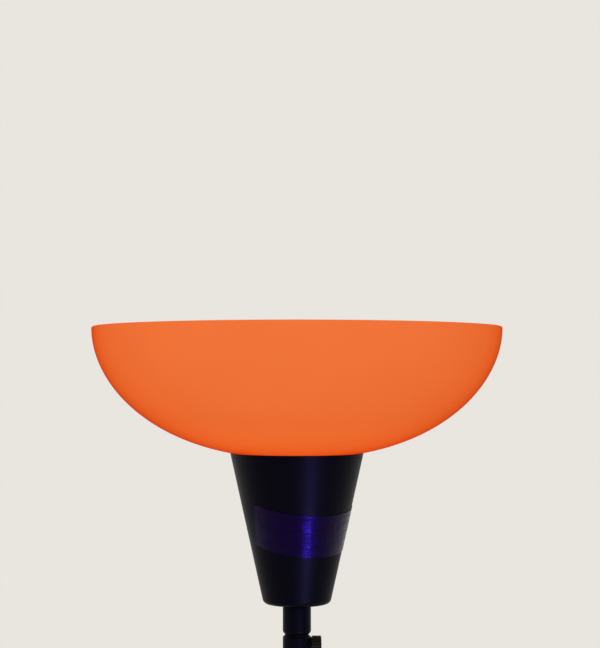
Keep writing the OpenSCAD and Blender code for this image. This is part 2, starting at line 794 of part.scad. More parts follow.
module lamp_cap() {
    color(steel) translate([0, 0, lamp_z]) {
        cylinder(d1 = contact_d, d2 = lamp_cap_d, h = lamp_tip_h);
        translate([0, 0, lamp_tip_h]) cylinder(d = lamp_cap_d, h = lamp_cap_h);
    }
}

module lamp_body() {
    color("white") rotate_extrude()
        polygon(concat([[0, lamp_body_z]], lamp_outline(0), reversed(lamp_outline(lamp_t)), [[0, lamp_body_z + lamp_t]]));
}

module led_plate() {
    swell_top = lamp_outline(lamp_t)[curve_steps - 1].x;
    color("gainsboro") translate([0, 0, globe_z - led_plate_t]) cylinder(r = swell_top, h = led_plate_t);
}

module lamp_globe() {
    r = lamp_d/2;
    centre = globe_z + globe_seat;
    color(lamp_orange) difference() {
        translate([0, 0, centre]) sphere(r = r);
        translate([0, 0, centre]) sphere(r = r - lamp_t);
        translate([0, 0, globe_z - lamp_d]) cylinder(d = 2*lamp_d, h = lamp_d);
    }
}

// Screwed through the barrel's wall; its outer end is the socket for the neck's first ball
module arm_ferrule() {
    tail_z = ferrule_nut_z - ferrule_nut_t - stud_proud/2;
    shoulder = boss_face + (arm_out - boss_face)/2;
    end = arm_out + socket_lip;
    color(black) at_arm_root() difference() {
        union() {
            translate([0, 0, tail_z]) cylinder(d = ferrule_tail_d, h = boss_face - tail_z);
            translate([0, 0, boss_face]) cylinder(d = ferrule_d, h = shoulder - boss_face);
            translate([0, 0, shoulder])
                cylinder(d1 = ferrule_d, d2 = neck_d, h = (ferrule_d - neck_d)/2);
            translate([0, 0, shoulder]) cylinder(d = neck_d, h = end - shoulder);
        }
        translate([0, 0, arm_out]) sphere(d = ball_d + 2*ball_gap);
        translate([0, 0, tail_z - cut]) cylinder(d = neck_bore, h = arm_out - tail_z);
    }
}

module ferrule_nut() {
    color(steel) at_arm_root() translate([0, 0, ferrule_nut_z - ferrule_nut_t])
        hex_nut(ferrule_nut_af, ferrule_tail_d + 2*thread_gap, ferrule_nut_t);
}

// One link: a ball in the socket before it, a waist, a ribbed body and a socket for the next ball
module neck_link(k) {
    last = k == neck_links - 1;
    r = neck_d/2;
    end = last ? link_l : link_l + socket_lip;
    ribs_end = link_l - (last ? 0 : socket_plain);
    ribs = floor((ribs_end - link_start)/rib_pitch) - 1;
    grooves = [for (i = [1:ribs])
        let (z = link_start + i*rib_pitch)
        each [[r, z - rib_depth], [r - rib_depth, z], [r, z + rib_depth]]];
    color(black) at_link(k) difference() {
        union() {
            sphere(d = ball_d);
            cylinder(d = waist_d, h = link_start + cut);
            rotate_extrude()
                polygon(concat([[0, link_start], [r, link_start]], grooves, [[r, end], [0, end]]));
            if (last) translate([0, 0, link_l - cut]) cylinder(d = spigot_d, h = spigot_l + cut);
        }
        if (!last) translate([0, 0, link_l]) sphere(d = ball_d + 2*ball_gap);
        translate([0, 0, -ball_d]) cylinder(d = neck_bore, h = link_l + spigot_l + 2*ball_d);
    }
}

// A turned cup on the neck's end, open at its mouth, with a hole in its side for the switch
module head_cup() {
    boss_r = cup_boss_d/2;
    dome = cup_d/2 - boss_r;
    hole_r = spigot_d/2 + slide_gap;
    dome_z = cup_boss_l + dome;
    color(black) difference() {
        at_head() rotate_extrude()
            polygon(concat([[hole_r, 0], [boss_r, 0]], arc([boss_r, dome_z], dome, -90, 0),
                           [[cup_d/2, cup_l], [cup_d/2 - cup_t, cup_l]],
                           arc([boss_r, dome_z], dome - cup_t, 0, -90), [[hole_r, cup_boss_l + cup_t]]));
        at_head_switch() translate([0, 0, cup_boss_d/2]) cylinder(d = head_shaft_d + 2*hole_gap, h = cup_d/2);
    }
}

module head_nut() {
    color(steel) at_head() translate([0, 0, cup_boss_l + cup_t])
        hex_nut(cup_nut_af, spigot_d + 2*thread_gap, cup_nut_h);
}

// Body in the cup, flange on the cup's rim and a sleeve through the shade
module head_holder() {
    body_r = small_holder_d/2;
    sleeve_r = sleeve_d/2;
    bore_r = small_bore_d/2;
    color("#1c1c1e") difference() {
        at_head() rotate_extrude()
            polygon([[0, small_holder_z], [body_r, small_holder_z], [body_r, cup_l], [small_flange_d/2, cup_l],
                     [small_flange_d/2, shade_z], [sleeve_r, shade_z], [sleeve_r, shade_z + sleeve_l],
                     [bore_r, shade_z + sleeve_l], [bore_r, small_shell_z], [0, small_shell_z]]);
        at_head_switch() translate([0, 0, head_shaft_d])
            cylinder(d = head_shaft_d + 2*shaft_gap, h = body_r);
    }
}

module head_shell() {
    inner = small_cap_d + 2*cap_gap;
    color(brass) at_head() translate([0, 0, small_shell_z])
        difference() {
            cylinder(d = inner + 2*shell_t, h = shade_z + sleeve_l - small_shell_z);
            translate([0, 0, contact_h]) cylinder(d = inner, h = shade_z + sleeve_l);
        }
}

module head_shade() {
    hole_r = sleeve_d/2 + bowl_hole_gap;
    lip = shade_t/2;
    mouth = shade_z + shade_depth;
    color(opal_white) at_head() rotate_extrude()
        polygon(concat([[hole_r, shade_z]], shade_outline(0), arc([shade_d/2 - lip, mouth], lip, 0, 180),
                       reversed(shade_outline(shade_t)), [[hole_r, shade_z + shade_t]]));
}

module head_ring() {
    color("#1c1c1e") at_head() translate([0, 0, shade_z + shade_t])
        grip_ring(small_ring_d, sleeve_d + 2*slide_gap, small_ring_h);
}

module head_lamp_cap() {
    color(steel) at_head() translate([0, 0, small_cap_z]) cylinder(d = small_cap_d, h = small_cap_h);
}

module head_lamp_globe() {
    r = small_lamp_d/2;
    start = small_cap_z + small_cap_h;
    neck_r = small_cap_d/2;
    reach = small_globe_z - start;
    color(opal_white) at_head() difference() {
        union() {
            translate([0, 0, small_globe_z]) sphere(r = r);
            translate([0, 0, start]) cylinder(r = neck_r, h = reach);
        }
        translate([0, 0, small_globe_z]) sphere(r = r - small_lamp_t);
        translate([0, 0, start - cut]) cylinder(r = neck_r - small_lamp_t, h = reach + cut);
    }
}

module head_shaft() {
    start = head_shaft_d + hole_gap;
    color(steel) at_head_switch() translate([0, 0, start])
        cylinder(d = head_shaft_d, h = head_knob_x + head_knob_l - knob_end_t - start);
}

module head_knob() {
    color(black) at_head_switch() translate([0, 0, head_knob_x]) difference() {
        fluted_knob(head_knob_d, head_knob_l, 2*flute_depth);
        translate([0, 0, -cut])
            cylinder(d = head_shaft_d + 2*push_gap, h = head_knob_l - knob_end_t + push_gap + cut);
    }
}

floor_felt();
base_weight();
base_cover();
base_washer();
base_nut();
base_stud();
lead_grommet();
pole_collar();
pole_section(0);  // pole_lower
pole_section(1);  // pole_middle
pole_section(2);  // pole_upper
pole_inserts();
joining_studs();
mains_lead();
junction_body();
switch_body();
switch_nut();
switch_shaft();
switch_knob();
spacer_ring();
neck_tube();
top_stud();
lamp_lead();
cone_cover();
cone_washer();
cone_nut();
tape_strip();
holder_cap();
holder_core();
screw_shell();
centre_contact();
holder_skirt();
shade_ring();
bowl_shade();
lamp_cap();
lamp_body();
led_plate();
lamp_globe();
arm_ferrule();
ferrule_nut();
for (k = [1:neck_links])
    neck_link(k - 1);
head_cup();
head_nut();
head_holder();
head_shell();
head_shade();
head_ring();
head_lamp_cap();
head_lamp_globe();
head_shaft();
head_knob();
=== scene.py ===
"""Looks of an uplighter floor lamp: a lit opal bowl on a black cone and pole, with a flexible reading arm."""

import json
import math

import bmesh
import bpy
from bpy.props import FloatProperty, FloatVectorProperty, IntProperty, PointerProperty
from mathutils import Matrix, Vector


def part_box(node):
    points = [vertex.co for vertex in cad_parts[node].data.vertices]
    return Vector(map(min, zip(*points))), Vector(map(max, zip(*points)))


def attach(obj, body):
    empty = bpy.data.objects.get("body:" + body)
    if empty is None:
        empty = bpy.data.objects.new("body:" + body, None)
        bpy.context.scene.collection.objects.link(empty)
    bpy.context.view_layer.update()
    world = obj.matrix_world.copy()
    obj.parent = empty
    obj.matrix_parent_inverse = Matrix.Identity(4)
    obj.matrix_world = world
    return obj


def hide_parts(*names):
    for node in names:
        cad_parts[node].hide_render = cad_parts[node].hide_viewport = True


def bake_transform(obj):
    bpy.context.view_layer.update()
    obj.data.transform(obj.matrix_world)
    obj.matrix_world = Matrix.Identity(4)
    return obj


bl_info = {
    "name": "Uplighter floor lamp",
    "version": (1, 0, 0),
    "blender": (4, 5, 0),
    "location": "3D View > Sidebar > Uplighter",
    "description": "Builds the shades, cone, tape, pole, base and reading arm of an uplighter floor lamp",
    "category": "Object",
}

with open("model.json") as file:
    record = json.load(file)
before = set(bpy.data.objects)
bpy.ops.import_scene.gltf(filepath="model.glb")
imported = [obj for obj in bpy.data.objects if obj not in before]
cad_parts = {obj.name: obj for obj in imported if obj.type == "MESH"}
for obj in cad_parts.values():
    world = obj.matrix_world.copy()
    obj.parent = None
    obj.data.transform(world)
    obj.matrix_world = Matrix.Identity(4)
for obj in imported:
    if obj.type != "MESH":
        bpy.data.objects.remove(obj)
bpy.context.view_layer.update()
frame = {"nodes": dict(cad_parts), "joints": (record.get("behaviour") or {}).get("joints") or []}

MM = 0.001
UP = Vector((0, 0, 1))
# Points of an outline that are nearer to the axis than this lie on it
TINY = 1e-7
# Sides of a turned piece, and of the pieces that need more or fewer
LATHE_STEPS = 160
WIDE_STEPS = 256
CONE_STEPS = 224
POLE_STEPS = 96
HOLE_STEPS = 48
# Steps in a rounded corner; roundings from this size up get twice as many
CORNER_STEPS = 6
LARGE_ROUNDING = 3 * MM
# Edges that turn by more than this stay creased
CREASE = math.radians(35)
# Grooves round a piece fade out inwards over this many times their depth
GROOVE_FADE = 4
# Bodies that the standing pieces and the reading head ride on
STAND = "lamp_stand"
HEAD = "neck_8"

JOINTS = {joint["name"]: joint for joint in frame["joints"]}
NECK_JOINTS = [joint for joint in frame["joints"] if joint["child"].startswith("neck_")]


def linear(hex_colour):
    """The linear colour of an sRGB hex value."""
    channels = [int(hex_colour[i:i + 2], 16) / 255 for i in (1, 3, 5)]
    return [c / 12.92 if c <= 0.04045 else ((c + 0.055) / 1.055) ** 2.4 for c in channels]


def colour(name, hex_colour, description):
    """A setting for a colour."""
    return FloatVectorProperty(
        name=name, description=description, default=linear(hex_colour), subtype="COLOR", size=3, min=0, max=1)


def length(name, millimetres, description):
    """A setting for a length."""
    return FloatProperty(
        name=name, description=description, default=millimetres * MM, subtype="DISTANCE", unit="LENGTH",
        min=0)


def angle(name, degrees, description):
    """A setting for an angle."""
    return FloatProperty(
        name=name, description=description, default=math.radians(degrees), subtype="ANGLE", unit="ROTATION")


def count(name, default, description):
    """A setting for a whole number."""
    return IntProperty(name=name, description=description, default=default, min=3)


def amount(name, default, description):
    """A setting for a plain number."""
    return FloatProperty(name=name, description=description, default=default, min=0)


class FinishSettings(bpy.types.PropertyGroup):
    """Colours of the lamp's finishes."""
    lacquer: colour("Lacquer", "#060608", "Black lacquer on the steel parts")
    phenolic: colour("Phenolic", "#080809", "Moulded black parts")
    # The tape's violet cast is painted, standing for violet light on it
    tape: colour("Tape", "#0B0510", "Dark tape round the cone")
    bowl: colour("Bowl", "#8C4421", "Acrylic of the bowl under white light")
    bowl_skin: colour("Bowl skin", "#FCEFDD", "Tint of its clear skin, deeper towards its outline")
    bowl_glow: colour("Bowl glow", "#CF6A3B", "Light that comes through the bowl")
    lamp_glow: colour("Lamp glow", "#FFB868", "Light inside the bowl and of the lamp's globe")
    opal: colour("Opal", "#DAD6CC", "White of the reading shade")


class StageSettings(bpy.types.PropertyGroup):
    """Floor, light and camera."""
    backdrop: colour("Backdrop", "#E9E5DF", "Pale background")
    floor: colour("Floor", "#DDD9D2", "Pale floor")
    floor_radius: length("Floor radius", 7000, "Radius of the floor disc")
    floor_fade: length("Floor fade", 1600, "Distance at which the floor starts to fade into the background")
    floor_end: length("Floor end", 4000, "Distance at which the floor has faded away")
    ambient: amount("Ambient", 0.85, "Strength of the even light from all round")
    gloss_power: amount("Gloss light", 6.0, "Power of the small low panel that shows in gloss only, in watts")
    front_power: amount("Front light", 2.5, "Power of the soft panel in front, in watts")
    beam: angle("Beam", 60, "Angle of the beam that the two low panels' grids let through")
    top_power: amount("Top light", 45.0, "Power of the wide panel overhead, in watts")
    lens: FloatProperty(name="Lens", description="Focal length in millimetres", default=89.9, min=10)
    distance: length("Camera distance", 1268, "Distance from the camera to the pole's axis")
    height: length("Camera height", 1757, "Height of the camera above the floor")
    pitch: angle("Camera pitch", 2.07, "How far the camera looks up")
    yaw: angle("Camera yaw", -0.109, "How far the camera looks to the left")


class ShadeSettings(bpy.types.PropertyGroup):
    """Sizes of the bowl, the reading shade and the lamps in them."""
    flatness: amount("Bowl flatness", 2.25, "How flat it gets at its seat: 2 is an ellipse, more is flatter")
    steepness: amount("Bowl steepness", 1.9, "How upright its side is: 2 is an ellipse, more is more upright")
    glow_reach: amount("Glow reach", 1.15, "How far from the lamp the clear glow reaches, in bowl radii")
    bright_reach: amount("Bright reach", 0.8, "How far from the lamp the strong glow reaches, in bowl radii")
    wall: length("Bowl wall", 2.5, "Wall of the bowl")
    seat: length("Bowl seat", 28, "Radius of the flat under the bowl")
    hole: length("Bowl hole", 20.3, "Radius of the hole in the bowl's seat")
    reading_wall: length("Reading shade wall", 2, "Wall of the reading shade")
    reading_seat: length("Reading shade seat", 22, "Radius of the flat on top of the reading shade")
    reading_hole: length("Reading shade hole", 14.3, "Radius of the hole in the reading shade's seat")
    lamp_wall: length("Lamp wall", 1.5, "Wall of the lamp's housing and globe")
    reading_lamp_wall: length("Reading lamp wall", 1, "Wall of the reading lamp's globe")
    steps: count("Curve steps", 56, "Steps along each shade's curve")


class ConeSettings(bpy.types.PropertyGroup):
    """Sizes of the cone, the neck tube and the tape."""
    bottom: length("Bottom radius", 26, "Radius of the cone at its bottom, before rounding")
    rounding: length("Bottom rounding", 4.5, "Rounding of the cone's bottom edge")
    sheet: length("Sheet", 1.2, "Thickness of the cone's and the tube's steel")
    hem: length("Hem", 2.6, "Height of the folded hem at the cone's rim")
    hem_groove: length("Hem groove", 0.168, "Depth of the groove under the hem")
    stud_hole: length("Stud hole", 5.3, "Radius of the hole for the stud")
    roll: length("Rolled end", 3, "Rounding of the neck tube's ends")
    tape_up: length("Tape height", 39.6, "Distance up the cone's side to the tape's lowest point")
    tape_width: length("Tape width", 32.8, "Width of the tape")
    tape_thickness: length("Tape thickness", 0.3, "Thickness of the tape")
    tape_gap: length("Tape gap", 0.1, "Gap between the tape and the cone")
    tape_low: angle("Tape low point", 30, "Direction of the tape's lowest point, from the front to the right")
    tape_left: angle("Tape left end", -54, "Direction of the middle of the tape's left end")
    tape_slant: angle("Tape slant", 11.5, "How much further round the left end starts below than above")
    tape_right: angle("Tape right end", 125, "Direction of the tape's right end")


class StandSettings(bpy.types.PropertyGroup):
    """Sizes of the pole, the base and the knobs."""
    pole_wall: length("Pole wall", 1.2, "Wall of the pole's tubes")
    pole_edge: length("Pole edge", 0.5, "Rounding of the pole sections' ends")
    collar_gap: length("Collar gap", 0.15, "Gap between the collar and the pole")
    collar_rounding: length("Collar rounding", 4, "Rounding of the collar's top edge")
    collar_foot: length("Collar foot", 0.3, "Rounding of the collar's bottom edge")
    collar_lip: length("Collar lip", 0.6, "Rounding of the collar's edge at the pole")
    edge_height: length("Base edge", 14, "Height of the base's upright edge")
    edge_rounding: length("Base rounding", 6, "Rounding between the base's edge and its top")
    hub: length("Hub", 26, "Radius of the flat hub on the base")
    hub_rounding: length("Hub rounding", 5, "Rounding between the hub and the base's slope")
    cover: length("Cover", 1.2, "Sheet thickness of the base's cover")
    recess: length("Recess", 30, "Radius of the hole in the felt")
    lead_hole: length("Lead hole", 5.1, "Radius of the hole for the lead's grommet")
    knob_skirt: length("Knob skirt", 0.3, "How much nearer a knob's skirt comes to its body than its solid")
    knob_end: length("Knob end", 1.4, "Thickness of a knob's closed end")
    knob_dish: length("Knob dish", 0.3, "Depth of the dish in a knob's face")
    flutes: count("Flutes", 24, "Flutes round a knob")
    flute_depth: length("Flute depth", 0.35, "Depth of a knob's flutes")
    grips: count("Grips", 18, "Grips round a shade ring")
    grip_depth: length("Grip depth", 0.8, "Depth of a shade ring's grips")


class NeckSettings(bpy.types.PropertyGroup):
    """Sizes of the flexible neck and the reading head."""
    radius: length("Neck radius", 4, "Radius of the flexible neck over its ribs")
    pitch: length("Rib pitch", 2.8, "Distance between two turns of the neck's winding")
    depth: length("Rib depth", 0.55, "Depth of the grooves between the turns")
    root: length("Neck root", 20, "Distance from the pole's axis to the neck's start in the ferrule")
    raise_share: amount("Raise share", 0.68, "Share of a link that bends with the pivot that raises the neck")
    ferrule: length("Ferrule radius", 6.5, "Radius of the ferrule at the arm's root")
    ferrule_length: length("Ferrule length", 5.6, "Length of the ferrule's widest part")
    ferrule_rounding: length("Ferrule rounding", 1.5, "Rounding of the ferrule's shoulder")
    ferrule_lip: length("Ferrule lip", 0.9, "Wall of the ferrule where the neck comes out")
    ferrule_cover: length("Ferrule cover", 2, "Length of the neck's start that the ferrule covers")
    ferrule_gap: length("Ferrule gap", 0.15, "Gap between the ferrule and the neck")
    ferrule_tail: length("Ferrule tail", 8.6, "Length of the ferrule behind the face that it sits on")
    ferrule_bore: length("Ferrule bore", 1.2, "Radius of the bore through the ferrule")
    boss: length("Boss face", 11.5, "Distance from the pole's axis to the face that the ferrule sits on")
    cup_wall: length("Cup wall", 1.5, "Wall of the head's cup")
    cup_boss: length("Cup boss", 7, "Radius of the cup's boss")
    cup_boss_length: length("Cup boss length", 9, "Length of the cup's boss")
    cup_hole: length("Cup hole", 3.15, "Radius of the hole through the cup's boss")
    cup_shoulder: length("Cup shoulder", 9, "Rounding of the cup's shoulder")
    cup_lining: length("Cup lining", 8, "Rounding of the cup's shoulder on the inside")
    cup_switch: length("Cup switch hole", 1.9, "Radius of the hole for the switch's shaft")


def add_node(tree, kind, inputs=None, **settings):
    """Adds a shader node with its settings, and feeds its sockets with values or other sockets."""
    node = tree.nodes.new("ShaderNode" + kind)
    for name, value in settings.items():
        setattr(node, name, value)
    for name, value in (inputs or {}).items():
        if isinstance(value, bpy.types.NodeSocket):
            tree.links.new(value, node.inputs[name])
        else:
            node.inputs[name].default_value = value
    return node


def material(build):
    """Turns a function that builds a shader into one that returns its material, made once."""
    def made():
        found = bpy.data.materials.get(build.__name__)
        if found is None:
            found = bpy.data.materials.new(build.__name__)
            found.use_nodes = True
            tree = found.node_tree
            tree.nodes.clear()
            place = add_node(tree, "TexCoord").outputs["Object"]
            shader = build(tree, place, bpy.context.scene.uplighter_finish)
            add_node(tree, "OutputMaterial", {"Surface": shader.outputs["BSDF"]})
        return found
    return made


@material
def satin_black_lacquer(tree, place, finish):
    # Stoved lacquer sprayed on steel: black with soft highlights, orange peel about 1.5 mm across, and marks
    # of handling about 40 mm across that change the gloss; the blue tint in its highlights is a painted
    # reflection of blue light
    peel = add_node(tree, "TexNoise", {"Vector": place, "Scale": 1 / (1.5 * MM), "Detail": 1.0})
    marks = add_node(tree, "TexNoise", {"Vector": place, "Scale": 1 / (40 * MM), "Detail": 4.0})
    gloss = add_node(tree, "MapRange", {"Value": marks.outputs["Fac"], "To Min": 0.36, "To Max": 0.48})
    relief = add_node(tree, "Bump", {"Height": peel.outputs["Fac"], "Distance": 0.006 * MM})
    # Specular Tint: painted blue in the reflections, standing for blue light on the lacquer
    return add_node(tree, "BsdfPrincipled", {
        "Base Color": (*finish.lacquer, 1), "Roughness": gloss.outputs["Result"], "Specular IOR Level": 0.05,
        "Specular Tint": (*linear("#8A80FF"), 1), "Normal": relief.outputs["Normal"]})


@material
def moulded_phenolic(tree, place, finish):
    # Compression-moulded phenolic: black with a fine flow mottle about 6 mm across and a dull gloss
    flow = add_node(tree, "TexNoise", {"Vector": place, "Scale": 1 / (6 * MM), "Detail": 5.0})
    shade = add_node(tree, "MixRGB", {
        "Fac": flow.outputs["Fac"], "Color1": (*finish.phenolic, 1), "Color2": (*linear("#0F0E0F"), 1)})
    gloss = add_node(tree, "MapRange", {"Value": flow.outputs["Fac"], "To Min": 0.34, "To Max": 0.5})
    return add_node(tree, "BsdfPrincipled", {
        "Base Color": shade.outputs["Color"], "Roughness": gloss.outputs["Result"],
        "Specular IOR Level": 0.12})


@material
def dark_vinyl_tape(tree, place, finish):
    # Calendered vinyl tape pulled round by hand: dark grey with a painted violet cast for violet light on it,
    # and a painted violet-blue sheen for that light's reflection; stretch lines along it, 1.2 mm apart and 30
    # mm long, that change the gloss, and ripples 6 mm high and 16 mm long
    stretch = add_node(tree, "Mapping", {
        "Vector": place, "Scale": (1 / (30 * MM), 1 / (30 * MM), 1 / (1.2 * MM))})
    lines = add_node(tree, "TexNoise", {"Vector": stretch.outputs["Vector"], "Scale": 1.0, "Detail": 3.0})
    pull = add_node(tree, "Mapping", {"Vector": place, "Scale": (1 / (16 * MM), 1 / (16 * MM), 1 / (6 * MM))})
    ripples = add_node(tree, "TexNoise", {"Vector": pull.outputs["Vector"], "Scale": 1.0, "Detail": 1.0})
    dull = add_node(tree, "TexNoise", {"Vector": place, "Scale": 1 / (9 * MM), "Detail": 4.0})
    shade = add_node(tree, "MixRGB", {
        "Fac": dull.outputs["Fac"], "Color1": (*finish.tape, 1), "Color2": (*linear("#12081C"), 1)})
    gloss = add_node(tree, "MapRange", {
        "Value": lines.outputs["Fac"], "From Min": 0.25, "From Max": 0.75, "To Min": 0.22, "To Max": 0.42})
    fine = add_node(tree, "Bump", {"Height": lines.outputs["Fac"], "Distance": 0.03 * MM})
    relief = add_node(tree, "Bump", {
        "Height": ripples.outputs["Fac"], "Distance": 0.5 * MM, "Normal": fine.outputs["Normal"]})
    # Specular Tint: a painted violet-blue reflection, standing for violet light on the tape
    return add_node(tree, "BsdfPrincipled", {
        "Base Color": shade.outputs["Color"], "Roughness": gloss.outputs["Result"], "Specular IOR Level": 0.2,
        "Specular Tint": (*linear("#3A14FF"), 1), "Normal": relief.outputs["Normal"]})


@material
def opal_acrylic_orange(tree, place, finish):
    # Vacuum-formed opal acrylic with an orange lamp behind it: an even glow that clears and strengthens
    # towards the lamp, faint clouding about 60 mm across and a soft gloss under a tinted clear skin.
    # The mesh holds how clear and how strong the glow is.
    glow = add_node(tree, "Attribute", attribute_name="glow").outputs["Fac"]
    strength = add_node(tree, "Attribute", attribute_name="strength").outputs["Fac"]
    cloud = add_node(tree, "TexNoise", {"Vector": place, "Scale": 1 / (60 * MM), "Detail": 3.0})
    even = add_node(tree, "MapRange", {"Value": cloud.outputs["Fac"], "To Min": 0.94, "To Max": 1.04})
    level = add_node(tree, "Math", {0: even.outputs["Result"], 1: strength}, operation="MULTIPLY")
    light = add_node(tree, "MixRGB", {
        "Fac": glow, "Color1": (*finish.bowl_glow, 1), "Color2": (*finish.lamp_glow, 1)})
    return add_node(tree, "BsdfPrincipled", {
        "Base Color": (*finish.bowl, 1), "Roughness": 0.5, "Specular IOR Level": 0.008,
        "Coat Weight": 1.0, "Coat IOR": 1.002, "Coat Tint": (*finish.bowl_skin, 1),
        "Emission Color": light.outputs["Color"], "Emission Strength": level.outputs["Value"]})


@material
def frosted_diffuser(tree, place, finish):
    # Frosted polycarbonate globe, lit: a warm light with faint clouds about 20 mm across, and a satin skin
    cloud = add_node(tree, "TexNoise", {"Vector": place, "Scale": 1 / (20 * MM), "Detail": 2.0})
    level = add_node(tree, "MapRange", {"Value": cloud.outputs["Fac"], "To Min": 0.85, "To Max": 1.0})
    return add_node(tree, "BsdfPrincipled", {
        "Base Color": (*linear("#E8A066"), 1), "Roughness": 0.5, "Emission Color": (*finish.lamp_glow, 1),
        "Emission Strength": level.outputs["Result"]})


@material
def white_polycarbonate(tree, place, finish):
    # Injection-moulded white housing: warm white with a fine spark texture about 0.6 mm across
    spark = add_node(tree, "TexNoise", {"Vector": place, "Scale": 1 / (0.6 * MM), "Detail": 2.0})
    shade = add_node(tree, "MixRGB", {
        "Fac": spark.outputs["Fac"], "Color1": (*linear("#DEDAD2"), 1), "Color2": (*linear("#EAE7E0"), 1)})
    relief = add_node(tree, "Bump", {"Height": spark.outputs["Fac"], "Distance": 0.02 * MM})
    return add_node(tree, "BsdfPrincipled", {
        "Base Color": shade.outputs["Color"], "Roughness": 0.48, "Normal": relief.outputs["Normal"]})


@material
def opal_glass_white(tree, place, finish):
    # Blown opal glass: milky white, glossy, with faint waves about 30 mm across in the skin
    wave = add_node(tree, "TexNoise", {"Vector": place, "Scale": 1 / (30 * MM), "Detail": 2.0})
    shade = add_node(tree, "MixRGB", {
        "Fac": wave.outputs["Fac"], "Color1": (*finish.opal, 1), "Color2": (*linear("#E2DFD6"), 1)})
    relief = add_node(tree, "Bump", {"Height": wave.outputs["Fac"], "Distance": 0.08 * MM})
    return add_node(tree, "BsdfPrincipled", {
        "Base Color": shade.outputs["Color"], "Roughness": 0.16, "Normal": relief.outputs["Normal"]})


@material
def frosted_lamp_glass(tree, place, finish):
    # Etched white lamp glass: pale, soft, with grain too fine to see drawn 0.8 mm across so that it shows
    grain = add_node(tree, "TexNoise", {"Vector": place, "Scale": 1 / (0.8 * MM), "Detail": 1.0})
    shade = add_node(tree, "MixRGB", {
        "Fac": grain.outputs["Fac"], "Color1": (*linear("#E6E3DB"), 1), "Color2": (*linear("#F2F0EA"), 1)})
    return add_node(tree, "BsdfPrincipled", {"Base Color": shade.outputs["Color"], "Roughness": 0.4})


def metal(tree, place, dark, bright, grain, rough):
    """A plated or plain metal: two tones in patches of that grain, and a gloss that changes with them."""
    patch = add_node(tree, "TexNoise", {"Vector": place, "Scale": 1 / grain, "Detail": 4.0})
    shade = add_node(tree, "MixRGB", {
        "Fac": patch.outputs["Fac"], "Color1": (*linear(dark), 1), "Color2": (*linear(bright), 1)})
    gloss = add_node(tree, "MapRange", {
        "Value": patch.outputs["Fac"], "To Min": rough - 0.08, "To Max": rough + 0.08})
    relief = add_node(tree, "Bump", {"Height": patch.outputs["Fac"], "Distance": 0.01 * MM})
    return add_node(tree, "BsdfPrincipled", {
        "Base Color": shade.outputs["Color"], "Metallic": 1.0, "Roughness": gloss.outputs["Result"],
        "Normal": relief.outputs["Normal"]})


@material
def zinc_plated_steel(tree, place, finish):
    # Zinc plate on turned steel: cool grey with a crystalline bloom about 3 mm across
    return metal(tree, place, "#9EA2A8", "#C6C9CD", 3 * MM, 0.36)


@material
def nickel_plate(tree, place, finish):
    # Bright nickel on pressed lamp caps: warm grey, fairly sharp reflections, bloom about 5 mm across
    return metal(tree, place, "#B4AFA6", "#D2CDC4", 5 * MM, 0.26)


@material
def rolled_aluminium(tree, place, finish):
    # Rolled aluminium plate: pale and dull, with mill marks about 2 mm across
    return metal(tree, place, "#C3C4C6", "#DADBDC", 2 * MM, 0.4)


@material
def brass_sheet(tree, place, finish):
    # Pressed brass: golden with tarnish in patches about 4 mm across
    return metal(tree, place, "#B8923F", "#DDBB66", 4 * MM, 0.32)


@material
def lamp_porcelain(tree, place, finish):
    # Fired lampholder porcelain: ivory with fine specks about 1 mm across and a low glaze
    speck = add_node(tree, "TexNoise", {"Vector": place, "Scale": 1 / (1 * MM), "Detail": 2.0})
    shade = add_node(tree, "MixRGB", {
        "Fac": speck.outputs["Fac"], "Color1": (*linear("#DDD3BF"), 1), "Color2": (*linear("#EFE8D8"), 1)})
    return add_node(tree, "BsdfPrincipled", {"Base Color": shade.outputs["Color"], "Roughness": 0.35})


@material
def sand_cast_iron(tree, place, finish):
    # Sand casting: dark grey with a grain about 1.2 mm across and brownish patches about 15 mm across
    grain = add_node(tree, "TexNoise", {"Vector": place, "Scale": 1 / (1.2 * MM), "Detail": 4.0})
    patch = add_node(tree, "TexNoise", {"Vector": place, "Scale": 1 / (15 * MM), "Detail": 3.0})
    shade = add_node(tree, "MixRGB", {
        "Fac": patch.outputs["Fac"], "Color1": (*linear("#3E3D3D"), 1), "Color2": (*linear("#4F4742"), 1)})
    relief = add_node(tree, "Bump", {"Height": grain.outputs["Fac"], "Distance": 0.2 * MM})
    return add_node(tree, "BsdfPrincipled", {
        "Base Color": shade.outputs["Color"], "Roughness": 0.75, "Normal": relief.outputs["Normal"]})


@material
def pressed_felt(tree, place, finish):
    # Pressed wool felt: dull charcoal with fibres about 1 mm across
    fibre = add_node(tree, "TexNoise", {
        "Vector": place, "Scale": 1 / (1 * MM), "Detail": 6.0, "Distortion": 2.0})
    shade = add_node(tree, "MixRGB", {
        "Fac": fibre.outputs["Fac"], "Color1": (*linear("#26262A"), 1), "Color2": (*linear("#44444A"), 1)})
    relief = add_node(tree, "Bump", {"Height": fibre.outputs["Fac"], "Distance": 0.3 * MM})
    return add_node(tree, "BsdfPrincipled", {
        "Base Color": shade.outputs["Color"], "Roughness": 0.95, "Sheen Weight": 0.4,
        "Normal": relief.outputs["Normal"]})


@material
def moulded_rubber(tree, place, finish):
    # Moulded black rubber: dull, with a bloom about 3 mm across
    bloom = add_node(tree, "TexNoise", {"Vector": place, "Scale": 1 / (3 * MM), "Detail": 3.0})
    shade = add_node(tree, "MixRGB", {
        "Fac": bloom.outputs["Fac"], "Color1": (*linear("#151515"), 1), "Color2": (*linear("#222121"), 1)})
    return add_node(tree, "BsdfPrincipled", {"Base Color": shade.outputs["Color"], "Roughness": 0.68})


